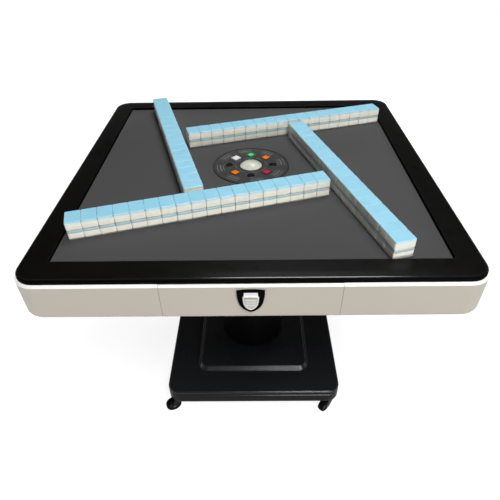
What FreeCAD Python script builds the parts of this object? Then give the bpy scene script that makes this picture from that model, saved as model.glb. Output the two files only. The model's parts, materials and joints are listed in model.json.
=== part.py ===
import FreeCAD, Part
import math
import os

# Automatic mahjong table, in millimetres.
# The origin is on the floor under the centre of the table. Z is up and -Y faces the viewer.
# Side 0 is the front; sides 1 to 3 follow anticlockwise seen from above.

V = FreeCAD.Vector

# Shared small values
overrun = 5.0                # how far a cutting shape runs past what it cuts
running_gap = 0.3            # between pieces that move on each other
panel_gap = 0.6              # round panels and fronts that slide out
same_level = 0.01            # tolerance when edges are picked by their height
sides = 4
right_angle = math.pi / 2
side_turn = 90.0
full_turn = 360.0
half_share = 0.5
arc_shares = (0.0, 0.5, 1.0)

# Tiles, two layers in each wall
tile_length = 48.0
tile_width = 33.8
tile_pitch = 34.0
tile_height = 22.0
tile_chamfer = 1.6
wall_tiles = 18
wall_layers = 2
wall_angle = 16.5            # degrees that each wall is turned from its side
corner_gap = 18.0            # inner end of a wall to the side of the next wall

# Top frame, the black rim
table_height = 775.0
field_margin = 2.3           # farthest tile corner to the rim
rim_width = 59.0
rim_corner = 45.0
rim_inner_corner = 5.0
rim_lip = 11.0
rim_round = 4.5
rim_inner_round = 2.0
rim_stand = 7.0              # rim top above the cloth

# Playing cloth and the board under it
cloth_thickness = 3.0
board_thickness = 12.0
board_inset = 25.5           # rim's outer edge to the board's edge
board_corner = 20.0
disc_gap = 1.0               # round the disc in its opening

# Skirt: corner mouldings and drawer fronts share one section
skirt_overhang = 5.0         # skirt beyond the rim
skirt_drop = 1.0             # bottom edge of the skirt below the floor plate
bevel_height = 5.0
skirt_wall = 4.0
skirt_round = 9.0
flange_gap = 2.5             # between the board and the flange that the top frame sits on
return_gap = 4.0             # between the floor plate and the lip turned in at the bottom edge
front_half = 180.0           # seam beside each drawer front

# Chassis
rail_inset = 19.0            # rim's outer edge to the rail's outer face
rail_width = 30.0
rail_height = 30.0
rail_wall = 3.0
ear_inset = 5.0              # rim's outer edge to the ear's outer face
ear_start = 250.0
floor_inset = 4.0            # rail's outer face to the floor plate's edge
floor_thickness = 3.0
floor_drop = 77.0            # board underside to the floor plate's upper face

# Drawers
tray_inset = 22.0            # seam of a drawer front to the side of its tray
tray_wall = 2.5
tray_corner = 5.0
tray_head_gap = 2.0          # tray top below the chassis rail
tray_back_gap = 14.2         # tray back to the nearest tile channel, along the slide
runner_wall = 3.0
runner_ledge = 11.0
runner_height = 28.0

# Drawer pull
pull_width = 55.0
pull_height = 59.0
pull_top_drop = 21.0         # table top to the pull's top edge
pull_plate = 3.0
pull_rim = 4.0
pull_rim_height = 2.0
pull_stand_off = 6.0
tab_width = 32.0
tab_height = 38.5
tab_drop = 7.0               # pull's top edge to the tab's root
tab_thickness = 3.5
tab_neck_width = 27.5
tab_neck_height = 2.5        # height of the sloping neck above the tab's shoulders
tab_foot_height = 12.0
tab_ribs = 3
tab_rib_height = 1.2
tab_rib_width = 20.0
tab_rib_pitch = 6.0
shield_arch_share = 0.04     # rise of the arched top, of the width
# Points down a shield's side, as shares of its width from the middle and of its height from the tip
shield_flank_shares = (0.487, 0.70)
shield_knee_shares = (0.432, 0.41)
shield_cheek_shares = (0.285, 0.17)

# Risers that carry the walls through their slots
riser_margin = 0.5           # riser plate beyond the tiles
riser_thickness = 9.0
riser_corner = 3.0
riser_rib_width = 20.0
riser_rib_depth = 8.0
riser_rod_radius = 5.0
riser_rod_spacing = 400.0
rod_engagement = 13.0        # rod inside its bush while the wall is up
slot_gap = 1.0               # slot beyond the riser plate
bush_radius = 9.0
bush_height = 20.0
bush_flange_radius = 14.0
bush_flange = 3.0
channel_width = 58.0
channel_wall = 2.5
channel_height = 24.0
channel_end_gap = 2.0

# Centre disc and what it carries
disc_radius = 103.5
disc_stand = 1.2             # disc face above the cloth
disc_face_thickness = 2.0
disc_lip_width = 3.0
disc_lip_height = 0.8
disc_depth = 22.0            # face underside to the housing floor
disc_wall = 3.0
lift_tube_radius = 24.0
lift_tube_wall = 4.0
lift_tube_gap = 5.2          # lift tube above the turntable hub
key_circle = 59.0
key_radius = 10.5
key_bezel_width = 3.2
key_bezel_height = 0.8
key_side = 21.0
key_corner = 2.0
key_stand = 1.8
key_flange = 2.0
key_flange_height = 3.0
key_stem_radius = 4.0
key_travel = 2.0
dome_radius = 30.0
dome_height = 12.0
dome_wall = 2.0
dome_flange = 3.5
dome_flange_height = 3.0
dice_tray_wall = 2.0
dice_tray_floor_share = 0.45
die_size = 9.0
die_chamfer = 1.0
dice_places_shares = ((-0.36, 0.12), (0.30, -0.22))
dice_turns = (20.0, 57.0)

# Hopper and turntable below the disc
throat_margin = 2.5          # hopper throat beyond the disc opening
hopper_foot = 150.0
hopper_wall = 3.0
hopper_flange = 22.0
hopper_depth = 111.0
hopper_collar = 12.0
hopper_window_width = 56.0
hopper_window_height = 40.0
turntable_overlap = 6.0      # turntable beyond the hopper's foot
turntable_thickness = 8.0
turntable_gap = 3.0          # hopper foot above the turntable
turntable_rib_width = 10.0
turntable_rib_height = 6.0
turntable_ribs = 6
hub_radius = 38.0
hub_height = 14.0
hub_drop = 8.0
post_collar_radius = 34.0
post_collar = 8.0
post_gap = 4.2               # post top below the disc housing

# Belly pan
pan_corner = 46.0
pan_bottom_half = 268.0
pan_wall = 3.0
pan_flange = 22.0

# Drives, control box and power inlet
motor_radius = 28.0
motor_height = 30.0
motor_gap = 9.0              # motor case below the turntable
motor_shaft_radius = 4.0
roller_radius = 18.0
lift_motor_radius = 21.0
lift_motor_height = 38.0
lift_motor_boss = 12.0
box_half_x = 42.0
box_half_y = 68.0
box_height = 28.0
box_corner = 6.0
box_fins = 7
box_fin_width = 3.0
box_fin_height = 5.0
inlet_width = 48.0
inlet_height = 28.0
inlet_flange = 2.5
inlet_body_width = 30.0
inlet_body_height = 22.0
inlet_body_depth = 26.0
inlet_wall = 2.5
inlet_pins = 3
inlet_pin_pitch = 7.0
inlet_pin_width = 2.0
inlet_pin_height = 4.0
inlet_pin_length = 14.0
inlet_corner = 3.0

# Column and base
column_radius = 102.0
column_wall = 3.0
flange_radius = 168.0
flange_thickness = 12.0
gusset_thickness = 8.0
gusset_reach = 55.0
gusset_height = 70.0
base_half = 276.0
base_corner = 40.0
base_height = 49.0
base_wall = 2.5
base_round = 7.0
base_bead_drop = 13.0
base_bead_height = 5.0
base_bead_depth = 1.2
pad_half_x = 182.0
pad_half_y = 194.0
pad_corner = 30.0
pad_height = 15.0
pad_slope = 9.0
ballast_rise = 3.0           # ballast plate above the cover's bottom edge
ballast_thickness = 12.0
ballast_gap = 0.4
socket_wall = 13.0
caster_inset = 27.0          # swivel axis from the cover's sides
caster_boss_radius = 14.0
caster_boss_height = 38.0
caster_boss_stand = 2.0      # boss below the cover's bottom edge

# Casters
wheel_radius = 25.0
wheel_width = 19.0
wheel_round = 3.5
wheel_dish_radius = 15.0
wheel_dish_depth = 2.5
wheel_head_gap = 5.7         # wheel below the swivel head
caster_trail = 19.0
caster_headings = (205.0, 222.0, 25.0, 130.0)
caster_names = ("front_left", "front_right", "back_right", "back_left")
caster_signs = ((-1, -1), (1, -1), (1, 1), (-1, 1))
swivel_radius = 17.0
swivel_height = 6.0
stem_radius = 6.0
stem_top_gap = 2.0
fork_wall = 3.0
fork_gap = 1.2               # fork cheek beside the wheel
axle_radius = 4.0
fork_hood = 4.0
fork_foot_radius = 9.0

side_names = ("front", "right", "back", "left")

# Hopper, turntable and tile channels, outwards from the disc
disc_hole_radius = disc_radius + disc_gap
hopper_throat = disc_hole_radius + throat_margin
turntable_radius = hopper_foot + turntable_overlap
floor_hole_radius = turntable_radius + turntable_gap
post_radius = lift_tube_radius - lift_tube_wall - running_gap

# Tile walls: they stand over channels that lie against the hopper's foot
skew = math.radians(wall_angle)
wall_offset = hopper_foot + hopper_wall + channel_width / 2
wall_end = wall_offset - tile_length / 2 - corner_gap
wall_length = wall_tiles * tile_pitch
wall_middle = wall_end - wall_length / 2
wall_reach = (wall_length - wall_end) * math.cos(skew) - (wall_offset - tile_length / 2) * math.sin(skew)

# Half widths of the top, outwards from the playing field, and of what hangs under it
rim_inner_half = wall_reach + field_margin
rim_half = rim_inner_half + rim_width
board_half = rim_half - board_inset
skirt_half = rim_half + skirt_overhang
skirt_inner_half = skirt_half - skirt_wall
skirt_corner = rim_corner + skirt_overhang
rail_half = rim_half - rail_inset
rail_inner_half = rail_half - rail_width
ear_half = rim_half - ear_inset
floor_half = rail_half - floor_inset
pan_top_half = floor_half
tray_half = front_half - tray_inset
runner_outer = tray_half + running_gap + runner_wall
channel_line = (wall_offset + channel_width / 2) / math.cos(skew)
tray_back = channel_line + runner_outer * math.tan(skew) + tray_back_gap
tray_depth = skirt_inner_half - tray_back

# Levels of the top, downwards from the rim
cloth_top = table_height - rim_stand
board_top = cloth_top - cloth_thickness
board_bottom = board_top - board_thickness
lip_bottom = table_height - rim_lip
bevel_bottom = lip_bottom - bevel_height
skirt_flange_bottom = lip_bottom - skirt_wall
rail_bottom = board_bottom - rail_height
floor_top = board_bottom - floor_drop
floor_bottom = floor_top - floor_thickness
skirt_bottom = floor_bottom - skirt_drop
tray_bottom = floor_top + runner_wall + running_gap
tray_top = rail_bottom - tray_head_gap
riser_bottom = cloth_top - riser_thickness
rib_bottom = riser_bottom - riser_rib_depth
rod_bottom = floor_top + bush_height - rod_engagement
disc_top = cloth_top + disc_stand
disc_underside = disc_top - disc_face_thickness
housing_floor_top = disc_underside - disc_depth
housing_bottom = housing_floor_top - disc_wall
hopper_bottom = board_bottom - hopper_depth
turntable_top = hopper_bottom - turntable_gap
turntable_bottom = turntable_top - turntable_thickness
hub_top = turntable_top + hub_height
hub_bottom = turntable_bottom - hub_drop
lift_tube_bottom = hub_top + lift_tube_gap
post_top = housing_bottom - post_gap
pan_floor = turntable_bottom - motor_gap - motor_height
pan_bottom = pan_floor - pan_wall
column_top = pan_bottom - flange_thickness

# Levels and places of the base, upwards from the wheels
swivel_bottom = 2 * wheel_radius + wheel_head_gap
swivel_top = swivel_bottom + swivel_height
caster_boss_bottom = swivel_top + running_gap
caster_boss_top = caster_boss_bottom + caster_boss_height
base_bottom = caster_boss_bottom + caster_boss_stand
base_top = base_bottom + base_height
pad_top = base_top + pad_height
ballast_bottom = base_bottom + ballast_rise
ballast_top = ballast_bottom + ballast_thickness
caster_place = base_half - caster_inset
fork_cheek = wheel_width / 2 + fork_gap


def block(x0, x1, y0, y1, z0, z1):
    return Part.makeBox(x1 - x0, y1 - y0, z1 - z0, V(x0, y0, z0))


def rod(radius, z0, z1, x=0.0, y=0.0):
    return Part.makeCylinder(radius, z1 - z0, V(x, y, z0))


def rounded_wire(half_x, half_y, corner, z):
    # Four quarter arcs joined by straight sides
    arcs = []
    for quarter in range(sides):
        middle = (quarter + half_share) * right_angle
        cx = math.copysign(half_x - corner, math.cos(middle))
        cy = math.copysign(half_y - corner, math.sin(middle))
        angles = [(quarter + share) * right_angle for share in arc_shares]
        points = [V(cx + corner * math.cos(a), cy + corner * math.sin(a), z) for a in angles]
        arcs.append(points)
    edges = []
    for points, following in zip(arcs, arcs[1:] + arcs[:1]):
        edges.append(Part.Arc(*points).toShape())
        edges.append(Part.LineSegment(points[-1], following[0]).toShape())
    return Part.Wire(edges)


def slab(half_x, half_y, corner, z0, z1):
    return Part.Face(rounded_wire(half_x, half_y, corner, z0)).extrude(V(0, 0, z1 - z0))


def taper(lower, upper):
    # A solid between two rounded rectangles, each given as half_x, half_y, corner, z
    return Part.makeLoft([rounded_wire(*lower), rounded_wire(*upper)], True, True)


def revolve(points):
    # A closed outline of radius and height, turned once round the Z axis
    outline = [V(r, 0, z) for r, z in points]
    face = Part.Face(Part.makePolygon(outline + outline[:1]))
    return face.revolve(V(0, 0, 0), V(0, 0, 1), full_turn)


def edges_at(shape, z, reach=0.0):
    # Edges that lie level at a height and keep at least this far from the Z axis
    found = []
    for edge in shape.Edges:
        box = edge.BoundBox
        level = abs(box.ZMin - z) < same_level and abs(box.ZMax - z) < same_level
        far = max(abs(box.XMin), abs(box.XMax), abs(box.YMin), abs(box.YMax))
        if level and far >= reach:
            found.append(edge)
    return found


def turned(shape, side):
    copy = shape.copy()
    copy.rotate(V(0, 0, 0), V(0, 0, 1), side * side_turn)
    return copy


def moved(shape, x, y, z=0.0):
    copy = shape.copy()
    copy.translate(V(x, y, z))
    return copy


def on_wall(shape, side):
    # From wall coordinates, X along the wall, to the skewed wall of a side
    copy = shape.copy()
    copy.rotate(V(0, 0, 0), V(0, 0, 1), wall_angle + side * side_turn)
    return copy


def fused(first, others):
    return first.multiFuse(others).removeSplitter()


def group(shapes):
    return Part.makeCompound(shapes)


# Table top

def make_top_frame():
    ring = slab(rim_half, rim_half, rim_corner, lip_bottom, table_height)
    ring = ring.makeFillet(rim_round, edges_at(ring, table_height))
    opening = slab(rim_inner_half, rim_inner_half, rim_inner_corner, lip_bottom - overrun,
                   table_height + overrun)
    ring = ring.cut(opening)
    inner = [e for e in edges_at(ring, table_height) if e.BoundBox.XMax < rim_inner_half + same_level]
    ring = ring.makeFillet(rim_inner_round, inner)
    seat_half = board_half + running_gap
    return ring.cut(slab(seat_half, seat_half, board_corner, lip_bottom - overrun, cloth_top))


def wall_slot():
    half_x = wall_length / 2 + riser_margin + slot_gap
    half_y = tile_length / 2 + riser_margin + slot_gap
    slot = slab(half_x, half_y, riser_corner + slot_gap, board_bottom - overrun, cloth_top + overrun)
    return moved(slot, wall_middle, -wall_offset)


def field_sheet(z0, z1):
    # A square sheet with the disc opening and a skewed slot for each wall
    sheet = slab(board_half, board_half, board_corner, z0, z1)
    cuts = [rod(disc_hole_radius, z0 - overrun, z1 + overrun)]
    cuts += [on_wall(wall_slot(), side) for side in range(sides)]
    return sheet.cut(cuts)


def make_top_board():
    return field_sheet(board_bottom, board_top)


def make_play_cloth():
    return field_sheet(board_top, cloth_top)


# Skirt

def skirt_ring():
    # One moulded section all round: bevel, wall, bottom round, flange and return lip
    wall = slab(skirt_half, skirt_half, skirt_corner, skirt_bottom, bevel_bottom)
    wall = wall.makeFillet(skirt_round, edges_at(wall, skirt_bottom))
    bevel = taper((skirt_half, skirt_half, skirt_corner, bevel_bottom),
                  (rim_half, rim_half, rim_corner, lip_bottom))
    inside = skirt_inner_half
    hollow = slab(inside, inside, skirt_corner - skirt_wall, skirt_bottom + skirt_wall, skirt_flange_bottom)
    top_half = board_half + flange_gap
    top_hole = slab(top_half, top_half, board_corner, skirt_flange_bottom - overrun, lip_bottom + overrun)
    low_half = floor_half + return_gap
    low_hole = slab(low_half, low_half, board_corner, skirt_bottom - overrun,
                    skirt_bottom + skirt_wall + overrun)
    return wall.fuse(bevel).removeSplitter().cut([hollow, top_hole, low_hole])


def make_skirt_corners(ring):
    reach = skirt_half + overrun
    z0 = skirt_bottom - overrun
    z1 = lip_bottom + overrun
    across = block(-front_half, front_half, -reach, reach, z0, z1)
    along = block(-reach, reach, -front_half, front_half, z0, z1)
    return ring.cut([across, along])


def make_drawer_front(ring, side):
    half = front_half - panel_gap
    reach = skirt_half + overrun
    keep = block(-half, half, -reach, -rail_inner_half, skirt_bottom - overrun, lip_bottom - panel_gap)
    return turned(ring.common(keep), side)


def make_drawer_tray(side):
    outer = slab(tray_half, tray_depth / 2, tray_corner, tray_bottom, tray_top)
    inner = slab(tray_half - tray_wall, tray_depth / 2 - tray_wall, tray_corner - tray_wall,
                 tray_bottom + tray_wall, tray_top + overrun)
    return turned(moved(outer.cut(inner), 0, -tray_back - tray_depth / 2), side)


def mirrored(point):
    return V(-point.x, point.y, point.z)


def shield(width, height, top, y, depth):
    # A gently arched top; each side runs down nearly straight, then sweeps in to a blunt point
    tip = V(0, y, top - height)
    corner = V(width / 2, y, top - width * shield_arch_share)
    flank, knee, cheek = [V(width * across, y, tip.z + height * up) for across, up in
                          (shield_flank_shares, shield_knee_shares, shield_cheek_shares)]
    arcs = [Part.Arc(mirrored(corner), V(0, y, top), corner), Part.Arc(corner, flank, knee),
            Part.Arc(knee, cheek, tip), Part.Arc(tip, mirrored(cheek), mirrored(knee)),
            Part.Arc(mirrored(knee), mirrored(flank), mirrored(corner))]
    return Part.Face(Part.Wire([arc.toShape() for arc in arcs])).extrude(V(0, -depth, 0))


def pull_tab(top, root_y):
    # A ribbed shield held off the plate by a sloping neck, open behind for the fingertips
    tab_y = root_y - pull_stand_off
    front_y = tab_y - tab_thickness
    shoulder = top - tab_neck_height
    blade = shield(tab_width, tab_height - tab_neck_height, shoulder, tab_y, tab_thickness)
    half = tab_neck_width / 2
    foot = top - tab_foot_height
    outline = [(root_y, top), (front_y, shoulder), (front_y, foot), (root_y, foot)]
    section = [V(-half, y, z) for y, z in outline]
    neck = Part.Face(Part.makePolygon(section + section[:1])).extrude(V(tab_neck_width, 0, 0))
    ribs = []
    for rib in range(tab_ribs):
        z = foot - rib * tab_rib_pitch
        ribs.append(block(-tab_rib_width / 2, tab_rib_width / 2, front_y - tab_rib_height, front_y,
                          z - tab_rib_height, z + tab_rib_height))
    return fused(blade, [neck] + ribs)


def make_drawer_pull(side):
    # A rimmed shield plate with its tab
    top = table_height - pull_top_drop
    root_y = -skirt_half - pull_plate
    plate = shield(pull_width, pull_height, top, -skirt_half, pull_plate + pull_rim_height)
    dish = shield(pull_width - 2 * pull_rim, pull_height - 2 * pull_rim, top - pull_rim,
                  root_y, pull_rim_height + overrun)
    tab = pull_tab(top - tab_drop, root_y)
    return turned(group([plate.cut(dish), tab]), side)


# Chassis

def make_chassis_frame():
    # A channel-section ring on corner angles, with ears under the corner mouldings
    ring = slab(rail_half, rail_half, board_corner, rail_bottom, board_bottom)
    web_half = rail_half - rail_wall
    groove = slab(web_half, web_half, board_corner - rail_wall, rail_bottom + rail_wall,
                  board_bottom - rail_wall)
    bore = slab(rail_inner_half, rail_inner_half, rail_wall, rail_bottom - overrun, board_bottom + overrun)
    ring = ring.cut([groove, bore])
    added = []
    for side in range(sides):
        angle = block(rail_inner_half, web_half, rail_inner_half, web_half, floor_top, rail_bottom)
        inner = web_half - rail_wall
        angle = angle.cut(block(rail_inner_half - overrun, inner, rail_inner_half - overrun, inner,
                                floor_top - overrun, rail_bottom + overrun))
        added.append(turned(angle, side))
    ears = slab(ear_half, ear_half, skirt_corner - skirt_half + ear_half, rail_bottom, skirt_flange_bottom)
    ears = ears.cut(slab(web_half, web_half, board_corner - rail_wall, rail_bottom - overrun, table_height))
    ears = ears.cut([block(-ear_start, ear_start, -rim_half, rim_half, floor_top, table_height),
                     block(-rim_half, rim_half, -ear_start, ear_start, floor_top, table_height)])
    return fused(ring, added + ears.Solids)


def rod_places():
    # Rod centres of one riser, in wall coordinates
    return [wall_middle - riser_rod_spacing / 2, wall_middle + riser_rod_spacing / 2]


def make_chassis_floor():
    plate = slab(floor_half, floor_half, board_corner, floor_bottom, floor_top)
    cuts = [rod(floor_hole_radius, floor_bottom - overrun, floor_top + overrun)]
    for side in range(sides):
        for u in rod_places():
            hole = rod(bush_radius - bush_flange, floor_bottom - overrun, floor_top + overrun,
                       u, -wall_offset)
            cuts.append(on_wall(hole, side))
    return plate.cut(cuts)


def make_drawer_runners():
    rails = []
    ledge_top = tray_bottom - running_gap
    inner = tray_half + running_gap
    y0 = -floor_half
    y1 = -tray_back
    for side in range(sides):
        for hand in (-1, 1):
            web = sorted((hand * inner, hand * runner_outer))
            ledge = sorted((hand * (inner - runner_ledge), hand * inner))
            rail = block(web[0], web[1], y0, y1, floor_top, floor_top + runner_height)
            rail = fused(rail, [block(ledge[0], ledge[1], y0, y1, floor_top, ledge_top)])
            rails.append(turned(rail, side))
    return group(rails)


# Tile walls and risers

def make_tile_wall(side):
    half = tile_width / 2
    z0 = 0.0
    z1 = tile_height
    c = tile_chamfer
    outline = [(-half + c, z0), (half - c, z0), (half, z0 + c), (half, z1 - c),
               (half - c, z1), (-half + c, z1), (-half, z1 - c), (-half, z0 + c)]
    points = [V(x, -tile_length / 2, z) for x, z in outline]
    tile = Part.Face(Part.makePolygon(points + points[:1])).extrude(V(0, tile_length, 0))
    tiles = []
    for layer in range(wall_layers):
        for place in range(wall_tiles):
            u = wall_end - (place + half_share) * tile_pitch
            tiles.append(moved(tile, u, -wall_offset, cloth_top + layer * tile_height))
    return on_wall(group(tiles), side)


def make_riser(side):
    # A plate under the wall, stiffened by a rib, on two guide rods
    half_x = wall_length / 2 + riser_margin
    half_y = tile_length / 2 + riser_margin
    plate = slab(half_x, half_y, riser_corner, riser_bottom, cloth_top)
    plate = moved(plate, wall_middle, -wall_offset)
    rib_half = (riser_rod_spacing + tile_length) / 2
    rib = slab(rib_half, riser_rib_width / 2, riser_corner, rib_bottom, riser_bottom)
    rods = [rod(riser_rod_radius, rod_bottom, riser_bottom, u, -wall_offset) for u in rod_places()]
    return on_wall(fused(plate, [moved(rib, wall_middle, -wall_offset)] + rods), side)


def make_riser_guides():
    bushes = []
    bore = riser_rod_radius + running_gap
    bush = revolve([(bore, floor_top), (bush_flange_radius, floor_top),
                    (bush_flange_radius, floor_top + bush_flange), (bush_radius, floor_top + bush_flange),
                    (bush_radius, floor_top + bush_height), (bore, floor_top + bush_height)])
    for side in range(sides):
        for u in rod_places():
            bushes.append(on_wall(moved(bush, u, -wall_offset), side))
    return group(bushes)


def make_tile_channels():
    # Troughs in which the walls are stacked, open above, with room round the bushes
    channels = []
    half_x = wall_length / 2 - channel_end_gap
    half_y = channel_width / 2
    z1 = floor_top + channel_height
    trough = block(wall_middle - half_x, wall_middle + half_x, -wall_offset - half_y, -wall_offset + half_y,
                   floor_top, z1)
    room = half_y - channel_wall
    trough = trough.cut(block(wall_middle - half_x - overrun, wall_middle + half_x + overrun,
                              -wall_offset - room, -wall_offset + room,
                              floor_top + channel_wall, z1 + overrun))
    reach = bush_flange_radius + running_gap
    holes = [rod(reach, floor_top - overrun, z1, u, -wall_offset) for u in rod_places()]
    trough = trough.cut(holes)
    for side in range(sides):
        channels.append(on_wall(trough, side))
    return group(channels)


# Centre disc

def key_place(index):
    # Eight places round the dome; even ones are round keys, odd ones are diamonds
    angle = index * right_angle / 2
    return key_circle * math.cos(angle), key_circle * math.sin(angle)


def key_prism(index, growth, z0, z1):
    # Plan of a key grown by a margin: a disc, or a square standing on its corner
    x, y = key_place(index)
    if index % 2 == 0:
        return rod(key_radius + growth, z0, z1, x, y)
    half = key_side / 2 + growth
    square = slab(half, half, key_corner + growth, z0, z1)
    square.rotate(V(0, 0, 0), V(0, 0, 1), side_turn / 2)
    return moved(square, x, y)


def make_key(index):
    # A cap that stands out of the face, a flange that stops it from below, and a stem
    x, y = key_place(index)
    flange_top = disc_underside - running_gap
    flange_bottom = flange_top - key_flange_height
    cap_top = disc_top + key_stand
    cap = key_prism(index, 0.0, flange_top, cap_top)
    cap = cap.makeChamfer(key_stand / 2, edges_at(cap, cap_top))
    flange = key_prism(index, key_flange, flange_bottom, flange_top)
    stem_bottom = housing_floor_top + key_travel + running_gap
    stem = rod(key_stem_radius, stem_bottom, flange_bottom, x, y)
    return fused(cap, [flange, stem])


def make_disc_face():
    inner = dome_radius + running_gap
    outer = disc_radius - disc_lip_width
    face = revolve([(inner, disc_underside), (outer, disc_underside), (outer, disc_top), (inner, disc_top)])
    bezels = []
    for index in range(0, 2 * sides, 2):
        bezels.append(key_prism(index, running_gap + key_bezel_width, disc_top,
                                disc_top + key_bezel_height))
    face = fused(face, bezels)
    cuts = []
    for index in range(2 * sides):
        cuts.append(key_prism(index, running_gap, disc_underside - overrun, disc_top + overrun))
    return face.cut(cuts)


def make_disc_housing():
    # A dish with a raised edge round the face, and the tube that lifts it
    face_edge = disc_radius - disc_lip_width
    inner = face_edge - disc_wall
    tube_inner = lift_tube_radius - lift_tube_wall
    tube_bottom = lift_tube_bottom
    return revolve([(0, housing_floor_top), (inner, housing_floor_top), (inner, disc_underside),
                    (face_edge, disc_underside), (face_edge, disc_top + disc_lip_height),
                    (disc_radius, disc_top + disc_lip_height), (disc_radius, housing_floor_top),
                    (disc_radius - disc_wall, housing_bottom), (lift_tube_radius, housing_bottom),
                    (lift_tube_radius, tube_bottom), (tube_inner, tube_bottom),
                    (tube_inner, housing_bottom), (0, housing_bottom)])


def dome_profile(radius, rise, base):
    # A low crown whose arc meets a short upright side
    crown = base + rise
    ball = (radius * radius + rise * rise) / (2 * rise)
    half_angle = math.asin(radius / ball)
    middle = half_angle / 2
    start = V(radius, 0, base)
    via = V(ball * math.sin(middle), 0, crown - ball + ball * math.cos(middle))
    return start, via, V(0, 0, crown)


def dome_solid(radius, rise, base, bottom):
    start, via, crown = dome_profile(radius, rise, base)
    foot = V(0, 0, bottom)
    corner = V(radius, 0, bottom)
    edges = [Part.LineSegment(foot, corner).toShape(), Part.LineSegment(corner, start).toShape(),
             Part.Arc(start, via, crown).toShape(), Part.LineSegment(crown, foot).toShape()]
    return Part.Face(Part.Wire(edges)).revolve(V(0, 0, 0), V(0, 0, 1), full_turn)


def make_dice_dome():
    flange_bottom = disc_underside - dome_flange_height
    outer = dome_solid(dome_radius, dome_height, disc_top, flange_bottom)
    flange = rod(dome_radius + dome_flange, flange_bottom, disc_underside)
    inner = dome_solid(dome_radius - dome_wall, dome_height - dome_wall, disc_top, flange_bottom - overrun)
    return fused(outer, [flange]).cut(inner)


def dice_floor():
    height = disc_underside - dome_flange_height - housing_floor_top
    return housing_floor_top + height * dice_tray_floor_share


def make_dice_tray():
    rim = disc_underside - dome_flange_height
    outer = dome_radius
    inner = outer - dice_tray_wall
    floor = dice_floor()
    return revolve([(0, housing_floor_top), (outer, housing_floor_top), (outer, rim), (inner, rim),
                    (inner, floor), (0, floor)])


def make_dice():
    dice = []
    half = die_size / 2
    for place, turn in zip(dice_places_shares, dice_turns):
        die = block(-half, half, -half, half, 0.0, die_size)
        die = die.makeChamfer(die_chamfer, die.Edges)
        die.rotate(V(0, 0, 0), V(0, 0, 1), turn)
        room = dome_radius - dice_tray_wall
        dice.append(moved(die, place[0] * room, place[1] * room, dice_floor()))
    return group(dice)


# Hopper, turntable and the post they share

def make_hopper_bowl():
    # A flared shell from the disc opening down to the turntable, with tile outlets
    t = hopper_wall
    collar = hopper_bottom + hopper_collar
    neck = board_bottom - hopper_collar
    flange = hopper_throat + t + hopper_flange
    bowl = revolve([(hopper_throat, board_bottom), (flange, board_bottom),
                    (flange, board_bottom - t), (hopper_throat + t, board_bottom - t),
                    (hopper_throat + t, neck), (hopper_foot + t, collar), (hopper_foot + t, hopper_bottom),
                    (hopper_foot, hopper_bottom), (hopper_foot, collar), (hopper_throat, neck)])
    window = block(-hopper_window_width / 2, hopper_window_width / 2, -hopper_foot - 2 * t, -hopper_throat,
                   hopper_bottom - overrun, hopper_bottom + hopper_window_height)
    return bowl.cut([on_wall(window, side) for side in range(sides)])


def make_turntable():
    bore = post_radius + running_gap
    disc = revolve([(bore, hub_bottom), (hub_radius, hub_bottom), (hub_radius, turntable_bottom),
                    (turntable_radius, turntable_bottom), (turntable_radius, turntable_top),
                    (hub_radius, turntable_top), (bore + turntable_thickness, hub_top), (bore, hub_top)])
    ribs = []
    reach = turntable_radius - turntable_rib_width
    for rib in range(turntable_ribs):
        bar = block(hub_radius - turntable_rib_width, reach,
                    -turntable_rib_width / 2, turntable_rib_width / 2,
                    turntable_bottom + turntable_thickness / 2, turntable_top + turntable_rib_height)
        bar.rotate(V(0, 0, 0), V(0, 0, 1), full_turn * rib / turntable_ribs)
        ribs.append(bar)
    hub_room = rod(bore, hub_bottom - overrun, hub_top + overrun)
    return fused(disc, ribs).cut(hub_room)


def make_centre_post():
    return revolve([(0, pan_floor), (post_collar_radius + post_collar, pan_floor),
                    (post_collar_radius, pan_floor + post_collar), (post_collar_radius, hub_bottom),
                    (post_radius, hub_bottom), (post_radius, post_top), (0, post_top)])


# Underside

def make_belly_pan():
    # A tapered tub with a flange under the floor plate
    outer = taper((pan_bottom_half, pan_bottom_half, pan_corner, pan_bottom),
                  (pan_top_half, pan_top_half, pan_corner, floor_bottom))
    low = pan_bottom_half - pan_wall
    high = pan_top_half - pan_wall
    corner = pan_corner - pan_wall
    inner = taper((low, low, corner, pan_floor), (high, high, corner, floor_bottom))
    shell = outer.cut(inner)
    flange = slab(pan_top_half, pan_top_half, pan_corner, floor_bottom - pan_wall, floor_bottom)
    flange_inner = pan_top_half - pan_flange
    flange = flange.cut(slab(flange_inner, flange_inner, pan_corner, floor_bottom - 2 * pan_wall,
                             floor_top))
    flange = flange.common(outer)
    return fused(shell, [flange])


def make_drive_motors():
    # One motor with a rubber roller against the turntable, and a lift motor at each riser
    x = -turntable_radius - running_gap - roller_radius
    top = pan_floor + motor_height
    shaft_motor = revolve([(0, pan_floor), (motor_radius, pan_floor), (motor_radius, top),
                           (motor_shaft_radius, top), (motor_shaft_radius, turntable_bottom),
                           (roller_radius, turntable_bottom), (roller_radius, turntable_top),
                           (0, turntable_top)])
    motors = [moved(shaft_motor, x, 0)]
    lift_bottom = floor_bottom - lift_motor_height
    lift = revolve([(0, floor_bottom), (lift_motor_radius, floor_bottom),
                    (lift_motor_radius, lift_bottom + lift_motor_boss),
                    (lift_motor_boss, lift_bottom), (0, lift_bottom)])
    for side in range(sides):
        motors.append(on_wall(moved(lift, wall_middle, -wall_offset), side))
    return group(motors)


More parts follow.
